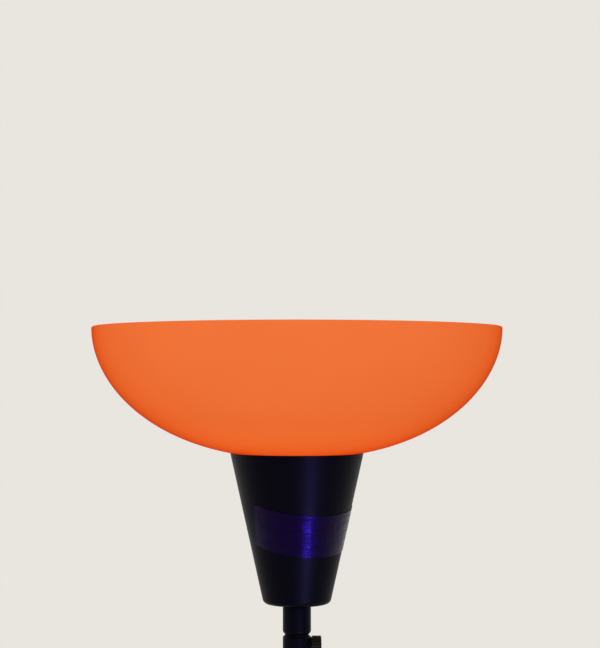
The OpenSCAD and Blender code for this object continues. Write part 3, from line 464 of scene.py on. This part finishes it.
@material
def pvc_sheath(tree, place, finish):
    # Extruded PVC lead: black with marks of the die about 2 mm across and a satin gloss
    draw = add_node(tree, "TexNoise", {"Vector": place, "Scale": 1 / (2 * MM), "Detail": 2.0})
    gloss = add_node(tree, "MapRange", {"Value": draw.outputs["Fac"], "To Min": 0.35, "To Max": 0.5})
    return add_node(tree, "BsdfPrincipled", {
        "Base Color": (*linear("#1B1B1D"), 1), "Roughness": gloss.outputs["Result"]})


def softened(corners):
    """A closed outline of points, from corners (radius, height, rounding)."""
    outline = []
    for before, corner, after in zip(corners[-1:] + corners[:-1], corners, corners[1:] + corners[:1]):
        here = Vector(corner[:2])
        rounding = corner[2]
        if not rounding:
            outline.append(here)
            continue
        back = (Vector(before[:2]) - here).normalized()
        onward = (Vector(after[:2]) - here).normalized()
        half = back.angle(onward) / 2
        centre = here + (back + onward).normalized() * rounding / math.sin(half)
        reach = rounding / math.tan(half)
        start = here + back * reach - centre
        end = here + onward * reach - centre
        steps = CORNER_STEPS if rounding < LARGE_ROUNDING else 2 * CORNER_STEPS
        for i in range(steps + 1):
            outline.append(centre + start.lerp(end, i / steps).normalized() * rounding)
    return outline


def new_piece(name, shape):
    """An object from a finished shape, smooth but for its creases."""
    bmesh.ops.recalc_face_normals(shape, faces=shape.faces)
    mesh = bpy.data.meshes.new(name)
    shape.to_mesh(mesh)
    shape.free()
    mesh.shade_smooth()
    mesh.set_sharp_from_angle(angle=CREASE)
    piece = bpy.data.objects.new(name, mesh)
    bpy.context.scene.collection.objects.link(piece)
    return piece


def join_rings(shape, rings):
    """Faces between each ring of points and the next; points that coincide make triangles."""
    steps = len(rings[0])
    for ring, following in zip(rings, rings[1:]):
        for i in range(steps):
            j = (i + 1) % steps
            corners = list(dict.fromkeys((ring[i], ring[j], following[j], following[i])))
            if len(corners) > 2:
                shape.faces.new(corners)


def turned(name, corners, place=None, ripple=None, steps=LATHE_STEPS):
    """A solid turned about its local Z axis from a closed outline; ripple(angle, radius) gives its radius."""
    place = place or Matrix.Identity(4)
    shape = bmesh.new()
    rings = []
    for radius, height in softened(corners):
        if radius < TINY:
            rings.append([shape.verts.new(place @ Vector((0, 0, height)))] * steps)
            continue
        ring = []
        for i in range(steps):
            turn = 2 * math.pi * i / steps
            r = ripple(turn, radius) if ripple else radius
            ring.append(shape.verts.new(place @ Vector((r * math.cos(turn), r * math.sin(turn), height))))
        rings.append(ring)
    join_rings(shape, rings + rings[:1])
    return new_piece(name, shape)


def fluted(outer, number, depth):
    """A ripple that cuts grooves into the outside of a turned solid."""
    def ripple(turn, radius):
        near_edge = max(0.0, 1 - (outer - radius) / (GROOVE_FADE * depth))
        return radius - near_edge * depth * (0.5 + 0.5 * math.cos(number * turn)) ** 2
    return ripple


def facing(point, direction):
    """A placement whose local Z axis starts at a point and looks along a direction."""
    return Matrix.Translation(point) @ Vector(direction).to_track_quat("Z", "Y").to_matrix().to_4x4()


def drill(piece, place, radius, depth):
    """Cuts a round hole into a piece, from a point along a placement's Z axis."""
    corners = [(0, 0, 0), (radius, 0, 0), (radius, depth, 0), (0, depth, 0)]
    cutter = turned("cutter", corners, place, steps=HOLE_STEPS)
    hole = piece.modifiers.new("hole", "BOOLEAN")
    hole.object = cutter
    hole.solver = "EXACT"
    drilled = piece.evaluated_get(bpy.context.evaluated_depsgraph_get())
    mesh = bpy.data.meshes.new_from_object(drilled)
    piece.modifiers.clear()
    piece.data = mesh
    mesh.set_sharp_from_angle(angle=CREASE)
    bpy.data.objects.remove(cutter)


def dress(piece, finish, slot, body, *nodes):
    """Gives a piece its finish, the body that it rides on and the solids that it stands for."""
    piece.data.materials.clear()
    piece.data.materials.append(finish())
    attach(piece, body)
    if nodes:
        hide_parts(*nodes)


def closing_depth(radius, depth, seat_radius, flatness, steepness):
    """Depth at which a shade's curve would close, from its depth at the edge of its seat."""
    return depth / (1 - (seat_radius / radius) ** flatness) ** (1 / steepness)


def shade_outline(radius, rim, seat, seat_radius, hole, wall, steps, flatness=2.0, steepness=2.0):
    """Corners of a bell or bowl with a flat seat, a hole in it and a round lip.

    Flatness and steepness 2 give half an ellipse.
    """
    way = math.copysign(1, rim - seat)
    lip = way * wall / 2
    seat_depth = abs(rim - seat)
    depth = closing_depth(radius, seat_depth, seat_radius, flatness, steepness)

    def curve(inset):
        a = radius - inset
        b = depth - inset
        start = math.acos(((seat_depth - inset) / b) ** (steepness / 2))
        turns = [start + (math.pi / 2 - start) * i / steps for i in range(steps + 1)]
        return [(a * math.sin(t) ** (2 / flatness), rim - way * b * math.cos(t) ** (2 / steepness), 0)
                for t in turns]

    outside = curve(0)
    inside = curve(wall)[::-1]
    edge = [(radius, rim + lip, wall / 2), (radius - wall, rim + lip, wall / 2)]
    eased = wall / 5
    hole_edge = [(hole, seat + way * wall, eased), (hole, seat, eased)]
    return outside[:-1] + edge + inside[1:] + hole_edge


class UPLIGHTER_OT_bowl(bpy.types.Operator):
    """Form the opal bowl and set how its light falls off from the lamp"""
    bl_idname = "uplighter.bowl"
    bl_label = "Bowl shade"

    def execute(self, context):
        size = context.scene.uplighter_shade
        low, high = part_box("bowl_shade")
        rim = high.z - size.wall / 2
        corners = shade_outline(
            high.x, rim, low.z, size.seat, size.hole, size.wall, size.steps, size.flatness, size.steepness)
        bowl = turned("opal_bowl", corners, steps=WIDE_STEPS)
        lamp_low, lamp_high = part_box("lamp_globe")
        lamp = Vector((0, 0, (lamp_low.z + lamp_high.z) / 2))
        middle_radius = high.x - size.wall / 2
        closing = closing_depth(high.x, rim - low.z, size.seat, size.flatness, size.steepness)
        middle_depth = closing - size.wall / 2
        glow = bowl.data.attributes.new("glow", "FLOAT", "POINT")
        strength = bowl.data.attributes.new("strength", "FLOAT", "POINT")
        for i, vertex in enumerate(bowl.data.vertices):
            out = vertex.co.xy.length / middle_radius
            down = max(0.0, rim - vertex.co.z) / middle_depth
            near = (lamp - vertex.co).length / high.x
            inside = out ** size.flatness + down ** size.steepness < 1
            glow.data[i].value = max(0.0, size.glow_reach - near) if inside else 0.0
            strength.data[i].value = 1 + max(0.0, size.bright_reach - near)
        dress(bowl, opal_acrylic_orange, "opal_orange", STAND, "bowl_shade")
        return {"FINISHED"}


class UPLIGHTER_OT_cone(bpy.types.Operator):
    """Spin the cone with its hem, the neck tube with its rolled ends and the spacer ring"""
    bl_idname = "uplighter.cone"
    bl_label = "Cone and neck"

    def execute(self, context):
        size = context.scene.uplighter_cone
        low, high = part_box("cone_cover")
        slope = (high.x - size.bottom) / (high.z - low.z)
        sheet = size.sheet
        inset = sheet * math.sqrt(1 + slope ** 2)
        hem = high.z - size.hem
        hem_radius = high.x - size.hem * slope
        groove = size.hem_groove
        groove_edge = groove / 4
        rim_edge = sheet / 3
        cone = turned("cone", [
            (size.stud_hole, low.z, 0), (size.bottom, low.z, size.rounding),
            (hem_radius - groove * slope, hem - groove, groove_edge), (hem_radius - groove, hem, 0),
            (hem_radius + groove * slope, hem + groove, groove_edge), (high.x, high.z, rim_edge),
            (high.x - inset, high.z, rim_edge),
            (size.bottom + sheet * slope - inset, low.z + sheet, size.rounding - sheet),
            (size.stud_hole, low.z + sheet, 0)], steps=CONE_STEPS)
        dress(cone, satin_black_lacquer, "black_lacquer", STAND, "cone_cover")

        low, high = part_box("neck_tube")
        roll = size.roll
        tube = turned("neck_tube_shell", [
            (size.stud_hole, low.z, 0), (high.x, low.z, roll), (high.x, high.z, roll),
            (size.stud_hole, high.z, 0), (size.stud_hole, high.z - sheet, 0),
            (high.x - sheet, high.z - sheet, roll - sheet), (high.x - sheet, low.z + sheet, roll - sheet),
            (size.stud_hole, low.z + sheet, 0)])
        dress(tube, satin_black_lacquer, "black_lacquer", STAND, "neck_tube")

        low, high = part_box("spacer_ring")
        edge = (high.z - low.z) / 6
        ring = turned("spacer", [
            (size.stud_hole, low.z, 0), (high.x, low.z, edge), (high.x, high.z, edge),
            (size.stud_hole, high.z, 0)])
        dress(ring, satin_black_lacquer, "black_lacquer", STAND, "spacer_ring")
        return {"FINISHED"}


class UPLIGHTER_OT_tape(bpy.types.Operator):
    """Wind the strip of tape round the cone, with hand-cut ends that lift a little"""
    bl_idname = "uplighter.tape"
    bl_label = "Tape"
    # Steps along and across the tape
    along = 120
    across = 14
    # The hand-cut ends stray by this angle in a wave of so many radians from edge to edge, and by the
    # third value in a nick, whose place and width are shares of the tape's width
    cut_wave = math.radians(0.5)
    cut_turn = 7
    nick = math.radians(0.9)
    nick_place = 0.12
    nick_width = 0.05
    # The long edges stray by this much, in a wave that turns so many times as fast as the tape goes round
    # the cone and is shifted by so many radians from edge to edge
    stray = 0.15 * MM
    stray_rate = 23
    stray_shift = 5
    # The ends lift by this much, over this share of the tape's length
    end_lift = 0.25 * MM
    end_share = 0.012
    # Wrinkles stand this high, and their wave turns by so many radians a step along and a step across
    wrinkle = 0.05 * MM
    wrinkle_along = 0.9
    wrinkle_across = 0.5

    def execute(self, context):
        size = context.scene.uplighter_cone
        low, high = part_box("cone_cover")
        slope = math.atan((high.x - size.bottom) / (high.z - low.z))
        apex = low.z - size.bottom / math.tan(slope)
        lowest = size.bottom / math.sin(slope) + size.tape_up

        def point(i, j, out):
            side = j / self.across
            nick = self.nick * math.exp(-((side - self.nick_place) / self.nick_width) ** 2)
            cut = self.cut_wave * math.sin(self.cut_turn * side) - nick
            left = size.tape_left + size.tape_slant * (side - 0.5) - cut
            turn = left + (size.tape_right + cut - left) * i / self.along
            stray = self.stray * math.sin(self.stray_rate * turn + self.stray_shift * side) * (2 * side - 1)
            unrolled = (turn - size.tape_low) * math.sin(slope)
            slant = (lowest + size.tape_width * side + stray) / math.cos(unrolled)
            r = slant * math.sin(slope) + out * math.cos(slope)
            height = apex + slant * math.cos(slope) - out * math.sin(slope)
            return Vector((r * math.sin(turn), -r * math.cos(turn), height))

        def gap(i, j):
            end = min(i, self.along - i) / self.along
            lift = self.end_lift * math.exp(-(end / self.end_share) ** 2)
            wave = self.wrinkle * math.sin(self.wrinkle_along * i + self.wrinkle_across * j)
            wave *= math.sin(math.pi * j / self.across)
            return size.tape_gap + (lift + max(0.0, wave))

        shape = bmesh.new()
        rings = []
        for i in range(self.along + 1):
            gaps = [gap(i, j) for j in range(self.across + 1)]
            inner = [point(i, j, under) for j, under in enumerate(gaps)]
            outer = [point(i, j, under + size.tape_thickness) for j, under in enumerate(gaps)]
            rings.append([shape.verts.new(p) for p in outer + inner[::-1]])
        join_rings(shape, rings)
        for ring in (rings[0], rings[-1]):
            for j in range(self.across):
                shape.faces.new((ring[j], ring[j + 1], ring[-2 - j], ring[-1 - j]))
        dress(new_piece("tape", shape), dark_vinyl_tape, "vinyl_tape", STAND, "tape_strip")
        return {"FINISHED"}


class UPLIGHTER_OT_knobs(bpy.types.Operator):
    """Turn the two fluted switch knobs"""
    bl_idname = "uplighter.knobs"
    bl_label = "Switch knobs"
    steps_per_flute = 8
    # Depth of the hollow behind a knob, as a share of its height
    hollow_depth = 0.35
    # Radii of the bore, the hollow, the face's edge and the dish, as shares of the knob's radius
    bore_share = 0.3
    hollow_share = 0.8
    face_share = 0.86
    dish_share = 0.78
    # Roundings of the skirt, the grip and the face
    skirt_edge = 0.3 * MM
    grip_edge = 0.7 * MM
    face_edge = 0.5 * MM
    # How far the grip's end and the middle of the dish lie below the face's edge
    grip_drop = 0.4 * MM
    middle_drop = 0.1 * MM

    def execute(self, context):
        size = context.scene.uplighter_stand
        for node, joint in (("switch_knob", "switch_turn"), ("head_knob", "head_switch_turn")):
            axis = Vector(JOINTS[joint]["axis"]).normalized()
            point = Vector(JOINTS[joint]["pos_m"])
            reach = [(v.co - point).dot(axis) for v in frame["nodes"][node].data.vertices]
            radius = max(((v.co - point).cross(axis)).length for v in frame["nodes"][node].data.vertices)
            back = min(reach) - size.knob_skirt
            front = max(reach)
            hollow = back + self.hollow_depth * (front - back)
            end = front - size.knob_end
            bore = self.bore_share * radius
            lining = self.hollow_share * radius
            knob = turned(node + "_cap", [
                (bore, hollow, 0), (lining, hollow, 0), (lining, back, 0), (radius, back, self.skirt_edge),
                (radius, front - self.grip_drop, self.grip_edge),
                (self.face_share * radius, front, self.face_edge),
                (self.dish_share * radius, front - size.knob_dish, self.face_edge),
                (0, front - self.middle_drop, 0), (0, end, 0), (bore, end, 0)],
                facing(point, axis), fluted(radius, size.flutes, size.flute_depth),
                self.steps_per_flute * size.flutes)
            dress(knob, moulded_phenolic, "black_plastic", JOINTS[joint]["child"], node)
        return {"FINISHED"}


class UPLIGHTER_OT_pole(bpy.types.Operator):
    """Draw the three pole sections with eased ends and the collar at the foot"""
    bl_idname = "uplighter.pole"
    bl_label = "Pole"

    def execute(self, context):
        size = context.scene.uplighter_stand
        for node in ("pole_lower", "pole_middle", "pole_upper"):
            low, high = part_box(node)
            bore = high.x - size.pole_wall
            tube = turned(node + "_tube", [
                (bore, low.z, 0), (high.x, low.z, size.pole_edge), (high.x, high.z, size.pole_edge),
                (bore, high.z, 0)], steps=POLE_STEPS)
            dress(tube, satin_black_lacquer, "black_lacquer", STAND, node)
            pole_radius = high.x
        low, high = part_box("pole_collar")
        bore = pole_radius + size.collar_gap
        collar = turned("foot_collar", [
            (bore, low.z, 0), (high.x, low.z, size.collar_foot), (high.x, high.z, size.collar_rounding),
            (bore, high.z, size.collar_lip)])
        dress(collar, satin_black_lacquer, "black_lacquer", STAND, "pole_collar")
        return {"FINISHED"}


class UPLIGHTER_OT_base(bpy.types.Operator):
    """Press the base's cover with its hole for the lead, and cut the felt"""
    bl_idname = "uplighter.base"
    bl_label = "Base"
    # How far before the grommet the drill for the lead's hole starts, and how far it goes
    drill_start = 3 * MM
    drill_depth = 12 * MM

    def execute(self, context):
        size = context.scene.uplighter_stand
        low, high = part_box("base_cover")
        stud_hole = context.scene.uplighter_cone.stud_hole
        centre = Vector((high.x - size.edge_rounding, low.z + size.edge_height))
        across = centre - Vector((size.hub, high.z))
        slope = math.atan2(across.y, across.x) + math.asin(size.edge_rounding / across.length)
        shoulder = high.z + (high.x - size.hub) * math.tan(slope)
        sheet = size.cover
        foot_edge = sheet / 3
        cover = turned("base_shell", [
            (stud_hole, high.z, 0), (size.hub, high.z, size.hub_rounding),
            (high.x, shoulder, size.edge_rounding), (high.x, low.z, foot_edge),
            (high.x - sheet, low.z, foot_edge),
            (high.x - sheet, shoulder - sheet, size.edge_rounding - sheet), (size.hub, high.z - sheet, 0),
            (stud_hole, high.z - sheet, 0)], steps=WIDE_STEPS)
        grommet_low, grommet_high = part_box("lead_grommet")
        middle = (grommet_low + grommet_high) / 2
        start = Vector((middle.x, grommet_low.y - self.drill_start, middle.z))
        drill(cover, facing(start, (0, 1, 0)), size.lead_hole, self.drill_depth)
        dress(cover, satin_black_lacquer, "black_lacquer", STAND, "base_cover")

        low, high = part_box("floor_felt")
        edge = (high.z - low.z) / 4
        felt = turned("felt_pad", [
            (size.recess, low.z, edge), (high.x, low.z, edge), (high.x, high.z, edge),
            (size.recess, high.z, edge)])
        dress(felt, pressed_felt, "felt", STAND, "floor_felt")
        return {"FINISHED"}


class UPLIGHTER_OT_lamp(bpy.types.Operator):
    """Mould the lamp's housing and globe, and the rings that clamp the bowl and the reading shade"""
    bl_idname = "uplighter.lamp"
    bl_label = "Lamp"
    # Steps along the curves of the housing and the globe
    steps = 32
    steps_per_grip = 10
    # Radius of a shade ring's bore, as a share of its own
    bore_share = 0.755
    # Roundings of a shade ring's bore and of its grips
    bore_edge = 0.3 * MM
    grip_edge = 0.6 * MM

    def execute(self, context):
        size = context.scene.uplighter_stand
        wall = context.scene.uplighter_shade.lamp_wall
        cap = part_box("lamp_cap")[1].x
        low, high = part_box("lamp_body")
        housing = []
        for i in range(self.steps + 1):
            swell = (1 - math.cos(math.pi * i / self.steps)) / 2
            height = low.z + (high.z - low.z) * i / self.steps
            housing.append((cap + (high.x - cap) * swell, height, 0))
        lining = [(r - wall, z, 0) for r, z, _ in housing[::-1]]
        body = turned("lamp_housing_shell", [(0, low.z, 0)] + housing + lining[:-1] + [(0, low.z + wall, 0)])
        dress(body, white_polycarbonate, "lamp_housing", STAND, "lamp_body")

        low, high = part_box("lamp_globe")
        radius = high.x
        centre = high.z - radius

        def dome(r):
            start = math.asin((low.z - centre) / r)
            turns = [start + (math.pi / 2 - start) * i / self.steps for i in range(self.steps)]
            side = [(r * math.cos(t), centre + r * math.sin(t), 0) for t in turns]
            return side + [(0, centre + r, 0)]

        globe = turned("lamp_diffuser_globe", dome(radius) + dome(radius - wall)[::-1])
        dress(globe, frosted_diffuser, "lamp_diffuser", STAND, "lamp_globe")

        for node, body_name in (("shade_ring", STAND), ("head_ring", HEAD)):
            low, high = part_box(node)
            middle = (low + high) / 2
            radius = (high.x - low.x) / 2
            bore = self.bore_share * radius
            ring = turned(node + "_grip", [
                (bore, low.z, self.bore_edge), (radius, low.z, self.grip_edge),
                (radius, high.z, self.grip_edge), (bore, high.z, self.bore_edge)],
                Matrix.Translation((middle.x, middle.y, 0)), fluted(radius, size.grips, size.grip_depth),
                self.steps_per_grip * size.grips)
            dress(ring, moulded_phenolic, "black_plastic", body_name, node)
        return {"FINISHED"}


class UPLIGHTER_OT_neck(bpy.types.Operator):
    """Wind the flexible neck in stretches that each curve round a pivot, and turn the ferrule at its root"""
    bl_idname = "uplighter.neck"
    bl_label = "Flexible neck"
    rings_per_rib = 8
    sides = 24
    # Small roundings on the ferrule, and how far its pocket reaches behind the neck's start
    edge = 0.3 * MM
    lip_edge = 0.4 * MM
    pocket = 0.5 * MM

    def execute(self, context):
        size = context.scene.uplighter_neck
        pivots = [Vector(joint["pos_m"]) for joint in NECK_JOINTS]
        cup_low, cup_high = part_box("head_cup")
        tip = Vector(((cup_low.x + cup_high.x) / 2, (cup_low.y + cup_high.y) / 2, cup_high.z))
        away = Vector((pivots[0].x, pivots[0].y, 0)).normalized()
        side = away.cross(UP)
        root = Vector((0, 0, pivots[0].z)) + away * size.root
        seams = [root]
        for joint, pivot, following in zip(NECK_JOINTS, pivots, pivots[1:] + [tip]):
            raises = joint["name"].startswith("neck_raise")
            seams.append(pivot.lerp(following, size.raise_share if raises else 1 - size.raise_share))

        run = 0.0
        for k, joint in enumerate(NECK_JOINTS):
            name = f"neck_stretch_{k + 1}"
            piece, run = self.stretch(name, seams[k], pivots[k], seams[k + 1], side, run, size)
            piece.data.materials.append(satin_black_lacquer())
            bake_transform(piece)
            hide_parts(joint["child"].replace("neck_", "neck_link_"))
        end, _ = self.stretch("neck_end", seams[-1], (seams[-1] + tip) / 2, tip, side, run, size)
        dress(end, satin_black_lacquer, "black_lacquer", HEAD)

        bore = size.radius + size.ferrule_gap
        tail = size.boss - size.ferrule_tail
        lip = size.root + size.ferrule_cover
        pocket = size.root - self.pocket
        ferrule = turned("ferrule", [
            (size.ferrule_bore, tail, 0), (size.radius, tail, self.edge), (size.radius, size.boss, 0),
            (size.ferrule, size.boss, self.edge),
            (size.ferrule, size.boss + size.ferrule_length, size.ferrule_rounding),
            (bore + size.ferrule_lip, lip, self.lip_edge), (bore, lip, self.edge), (bore, pocket, 0),
            (size.ferrule_bore, pocket, 0)],
            facing((0, 0, pivots[0].z), away), steps=POLE_STEPS)
        dress(ferrule, satin_black_lacquer, "black_lacquer", STAND, "arm_ferrule")
        return {"FINISHED"}

    def stretch(self, name, start, control, end, side, run, size):
        """A ribbed tube along a curve from start to end that leaves and arrives towards control."""
        span = (control - start).length + (end - control).length
        steps = round(span / size.pitch * self.rings_per_rib)
        shape = bmesh.new()
        rings = []
        before = start
        for i in range(steps + 1):
            t = i / steps
            centre = start * (1 - t) ** 2 + control * 2 * t * (1 - t) + end * t ** 2
            heading = ((control - start) * (1 - t) + (end - control) * t).normalized()
            across = heading.cross(side)
            run += (centre - before).length
            before = centre
            ring = []
            for j in range(self.sides):
                turn = 2 * math.pi * j / self.sides
                groove = (0.5 + 0.5 * math.cos(2 * math.pi * run / size.pitch - turn)) ** 2
                r = size.radius - size.depth * groove
                ring.append(shape.verts.new(centre + (side * math.cos(turn) + across * math.sin(turn)) * r))
            rings.append(ring)
        join_rings(shape, rings)
        shape.faces.new(rings[0])
        shape.faces.new(rings[-1])
        return new_piece(name, shape), run


class UPLIGHTER_OT_head(bpy.types.Operator):
    """Turn the reading head's cup, blow its shade and its small lamp"""
    bl_idname = "uplighter.head"
    bl_label = "Reading head"
    # Steps along the small lamp's curve
    steps = 40
    # Roundings of the cup: its hole, the top and the foot of its boss, and its rim outside and inside
    hole_edge = 0.3 * MM
    boss_edge = 0.8 * MM
    boss_foot = 1.2 * MM
    rim_edge = 0.5 * MM
    rim_lining = 0.4 * MM
    # How far behind the switch's place the drill for its shaft starts, and how far it goes
    drill_start = 6 * MM
    drill_depth = 12 * MM

    def execute(self, context):
        size = context.scene.uplighter_neck
        shade = context.scene.uplighter_shade
        low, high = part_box("head_cup")
        radius = (high.x - low.x) / 2
        place = Matrix.Translation(((low.x + high.x) / 2, (low.y + high.y) / 2, 0))
        hole = size.cup_hole
        wall = size.cup_wall
        shoulder = high.z - size.cup_boss_length
        cup = turned("reading_cup", [
            (hole, high.z, self.hole_edge), (size.cup_boss, high.z, self.boss_edge),
            (size.cup_boss, shoulder, self.boss_foot), (radius, shoulder, size.cup_shoulder),
            (radius, low.z, self.rim_edge), (radius - wall, low.z, self.rim_lining),
            (radius - wall, shoulder - wall, size.cup_lining), (hole, shoulder - wall, 0)], place)
        switch = JOINTS["head_switch_turn"]
        start = Vector(switch["pos_m"]) - Vector(switch["axis"]) * self.drill_start
        drill(cup, facing(start, switch["axis"]), size.cup_switch, self.drill_depth)
        dress(cup, satin_black_lacquer, "black_lacquer", HEAD, "head_cup")

        low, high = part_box("head_shade")
        mouth = low.z + shade.reading_wall / 2
        bell = turned("reading_shade", shade_outline(
            (high.x - low.x) / 2, mouth, high.z, shade.reading_seat, shade.reading_hole, shade.reading_wall,
            shade.steps), place)
        dress(bell, opal_glass_white, "opal_white", HEAD, "head_shade")

        low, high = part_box("head_lamp_globe")
        radius = (high.x - low.x) / 2
        centre = low.z + radius
        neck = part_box("head_lamp_cap")
        neck_radius = (neck[1].x - neck[0].x) / 2

        def bulb(inset):
            r = radius - inset
            start = math.acos((neck_radius - inset) / r)
            turns = [start - (start + math.pi / 2) * i / self.steps for i in range(self.steps)]
            side = [(r * math.cos(t), centre + r * math.sin(t), 0) for t in turns]
            return [(neck_radius - inset, high.z, 0)] + side + [(0, centre - r, 0)]

        globe = turned("reading_lamp_globe", bulb(0) + bulb(shade.reading_lamp_wall)[::-1], place)
        dress(globe, frosted_lamp_glass, "frosted_glass", HEAD, "head_lamp_globe")
        return {"FINISHED"}


class UPLIGHTER_OT_fittings(bpy.types.Operator):
    """Give the fittings that keep their solid form their finishes"""
    bl_idname = "uplighter.fittings"
    bl_label = "Fittings"

    def execute(self, context):
        finishes = {
            satin_black_lacquer: ["junction_body"],
            moulded_phenolic: ["switch_body", "holder_cap", "holder_skirt", "head_holder"],
            zinc_plated_steel: [
                "base_washer", "base_nut", "base_stud", "pole_inserts", "joining_studs", "switch_nut",
                "switch_shaft", "top_stud", "cone_washer", "cone_nut", "ferrule_nut", "head_nut",
                "head_shaft"],
            nickel_plate: ["lamp_cap", "head_lamp_cap"],
            rolled_aluminium: ["led_plate"],
            brass_sheet: ["screw_shell", "centre_contact", "head_shell"],
            lamp_porcelain: ["holder_core"],
            sand_cast_iron: ["base_weight"],
            moulded_rubber: ["lead_grommet"],
            pvc_sheath: ["mains_lead", "lamp_lead"],
        }
        for finish, nodes in finishes.items():
            for node in nodes:
                for slot in frame["nodes"][node].material_slots:
                    slot.material = finish()
        return {"FINISHED"}


class UPLIGHTER_OT_stage(bpy.types.Operator):
    """Set up the floor, the even background, the light panels and the camera"""
    bl_idname = "uplighter.stage"
    bl_label = "Stage"
    floor_sides = 128
    # Places and sizes of the light panels in metres, and the beam of the one without a grid
    gloss_place = (1.1, -2.13, 0.25)
    gloss_size = (0.34, 0.5)
    front_place = (-0.6, -2.6, 1.1)
    front_size = (1.2, 1.2)
    top_place = (0, 0, 4.2)
    top_size = (3.5, 3.5)
    open_beam = math.pi

    def execute(self, context):
        stage = context.scene.uplighter_stage
        context.scene.view_settings.view_transform = "Standard"
        self.make_world(context, stage)
        self.make_floor(context, stage)
        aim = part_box("cone_cover")[0].z
        gloss = self.add_panel(
            "gloss_panel", self.gloss_place, self.gloss_size, stage.gloss_power, aim, stage.beam)
        gloss.visible_diffuse = False
        front = self.add_panel(
            "front_panel", self.front_place, self.front_size, stage.front_power, aim, stage.beam)
        front.visible_glossy = False
        self.add_panel("top_panel", self.top_place, self.top_size, stage.top_power, 0, self.open_beam)

        lens = bpy.data.cameras.new("camera")
        lens.lens = stage.lens
        camera = bpy.data.objects.new("camera", lens)
        camera.location = (0, -stage.distance, stage.height)
        camera.rotation_euler = (math.pi / 2 + stage.pitch, 0, stage.yaw)
        context.scene.collection.objects.link(camera)
        context.scene.camera = camera
        return {"FINISHED"}

    def make_world(self, context, stage):
        """Even light from all round; what shows, also in gloss and glass, is the pale backdrop."""
        world = bpy.data.worlds.new("backdrop")
        world.use_nodes = True
        tree = world.node_tree
        tree.nodes.clear()
        path = add_node(tree, "LightPath").outputs
        seen = path["Is Camera Ray"]
        for kind in ("Is Glossy Ray", "Is Transmission Ray"):
            seen = add_node(tree, "Math", {0: seen, 1: path[kind]}, operation="MAXIMUM").outputs["Value"]
        light = add_node(tree, "Background", {"Color": (1, 1, 1, 1), "Strength": stage.ambient})
        pale = add_node(tree, "Background", {"Color": (*stage.backdrop, 1), "Strength": 1.0})
        mix = add_node(tree, "MixShader", {
            0: seen, 1: light.outputs["Background"], 2: pale.outputs["Background"]})
        add_node(tree, "OutputWorld", {"Surface": mix.outputs["Shader"]})
        context.scene.world = world

    def make_floor(self, context, stage):
        """A pale disc that keeps the shadow and fades into the background away from the lamp."""
        shape = bmesh.new()
        bmesh.ops.create_circle(shape, cap_ends=True, segments=self.floor_sides, radius=stage.floor_radius)
        floor = new_piece("floor", shape)
        paint = bpy.data.materials.new("matt_floor_paint")
        paint.use_nodes = True
        tree = paint.node_tree
        tree.nodes.clear()
        place = add_node(tree, "TexCoord").outputs["Object"]
        far = add_node(tree, "VectorMath", {0: place}, operation="LENGTH")
        fade = add_node(tree, "MapRange", {
            "Value": far.outputs["Value"], "From Min": stage.floor_fade, "From Max": stage.floor_end},
            interpolation_type="SMOOTHSTEP")
        matt = add_node(tree, "BsdfDiffuse", {"Color": (*stage.floor, 1)})
        clear = add_node(tree, "BsdfTransparent")
        mix = add_node(tree, "MixShader", {
            0: fade.outputs["Result"], 1: matt.outputs["BSDF"], 2: clear.outputs["BSDF"]})
        add_node(tree, "OutputMaterial", {"Surface": mix.outputs["Shader"]})
        floor.data.materials.append(paint)

    def add_panel(self, name, place, size, power, aim, beam):
        """A soft rectangular light that sends its beam to a height on the pole."""
        light = bpy.data.lights.new(name, "AREA")
        light.shape = "RECTANGLE"
        light.size, light.size_y = size
        light.energy = power
        light.spread = beam
        panel = bpy.data.objects.new(name, light)
        panel.location = place
        panel.rotation_euler = (Vector((0, 0, aim)) - panel.location).to_track_quat("-Z", "Y").to_euler()
        panel.visible_camera = False
        bpy.context.scene.collection.objects.link(panel)
        return panel


class UPLIGHTER_PT_panel(bpy.types.Panel):
    """Lists the lamp's pieces and their settings"""
    bl_idname = "UPLIGHTER_PT_panel"
    bl_label = "Uplighter floor lamp"
    bl_space_type = "VIEW_3D"
    bl_region_type = "UI"
    bl_category = "Uplighter"

    def draw(self, context):
        for operator in OPERATORS:
            self.layout.operator(operator.bl_idname)
        for name, group in SETTINGS.items():
            box = self.layout.box()
            box.label(text=group.__doc__)
            for setting in group.__annotations__:
                box.prop(getattr(context.scene, name), setting)


SETTINGS = {
    "uplighter_finish": FinishSettings,
    "uplighter_stage": StageSettings,
    "uplighter_shade": ShadeSettings,
    "uplighter_cone": ConeSettings,
    "uplighter_stand": StandSettings,
    "uplighter_neck": NeckSettings,
}
OPERATORS = (
    UPLIGHTER_OT_stage, UPLIGHTER_OT_bowl, UPLIGHTER_OT_cone, UPLIGHTER_OT_tape, UPLIGHTER_OT_knobs,
    UPLIGHTER_OT_pole, UPLIGHTER_OT_base, UPLIGHTER_OT_lamp, UPLIGHTER_OT_neck, UPLIGHTER_OT_head,
    UPLIGHTER_OT_fittings,
)


def register():
    """Adds the lamp's settings, operators and panel to Blender."""
    for cls in (*SETTINGS.values(), *OPERATORS, UPLIGHTER_PT_panel):
        bpy.utils.register_class(cls)
    for name, group in SETTINGS.items():
        setattr(bpy.types.Scene, name, PointerProperty(type=group))


def unregister():
    """Takes them out again."""
    for name in SETTINGS:
        delattr(bpy.types.Scene, name)
    for cls in (UPLIGHTER_PT_panel, *reversed(OPERATORS), *reversed(SETTINGS.values())):
        bpy.utils.unregister_class(cls)


def main():
    """Builds the lamp and its stage."""
    register()
    for operator in OPERATORS:
        group, name = operator.bl_idname.split(".")
        getattr(getattr(bpy.ops, group), name)()
    bpy.context.view_layer.update()


if __name__ == "__main__":
    main()
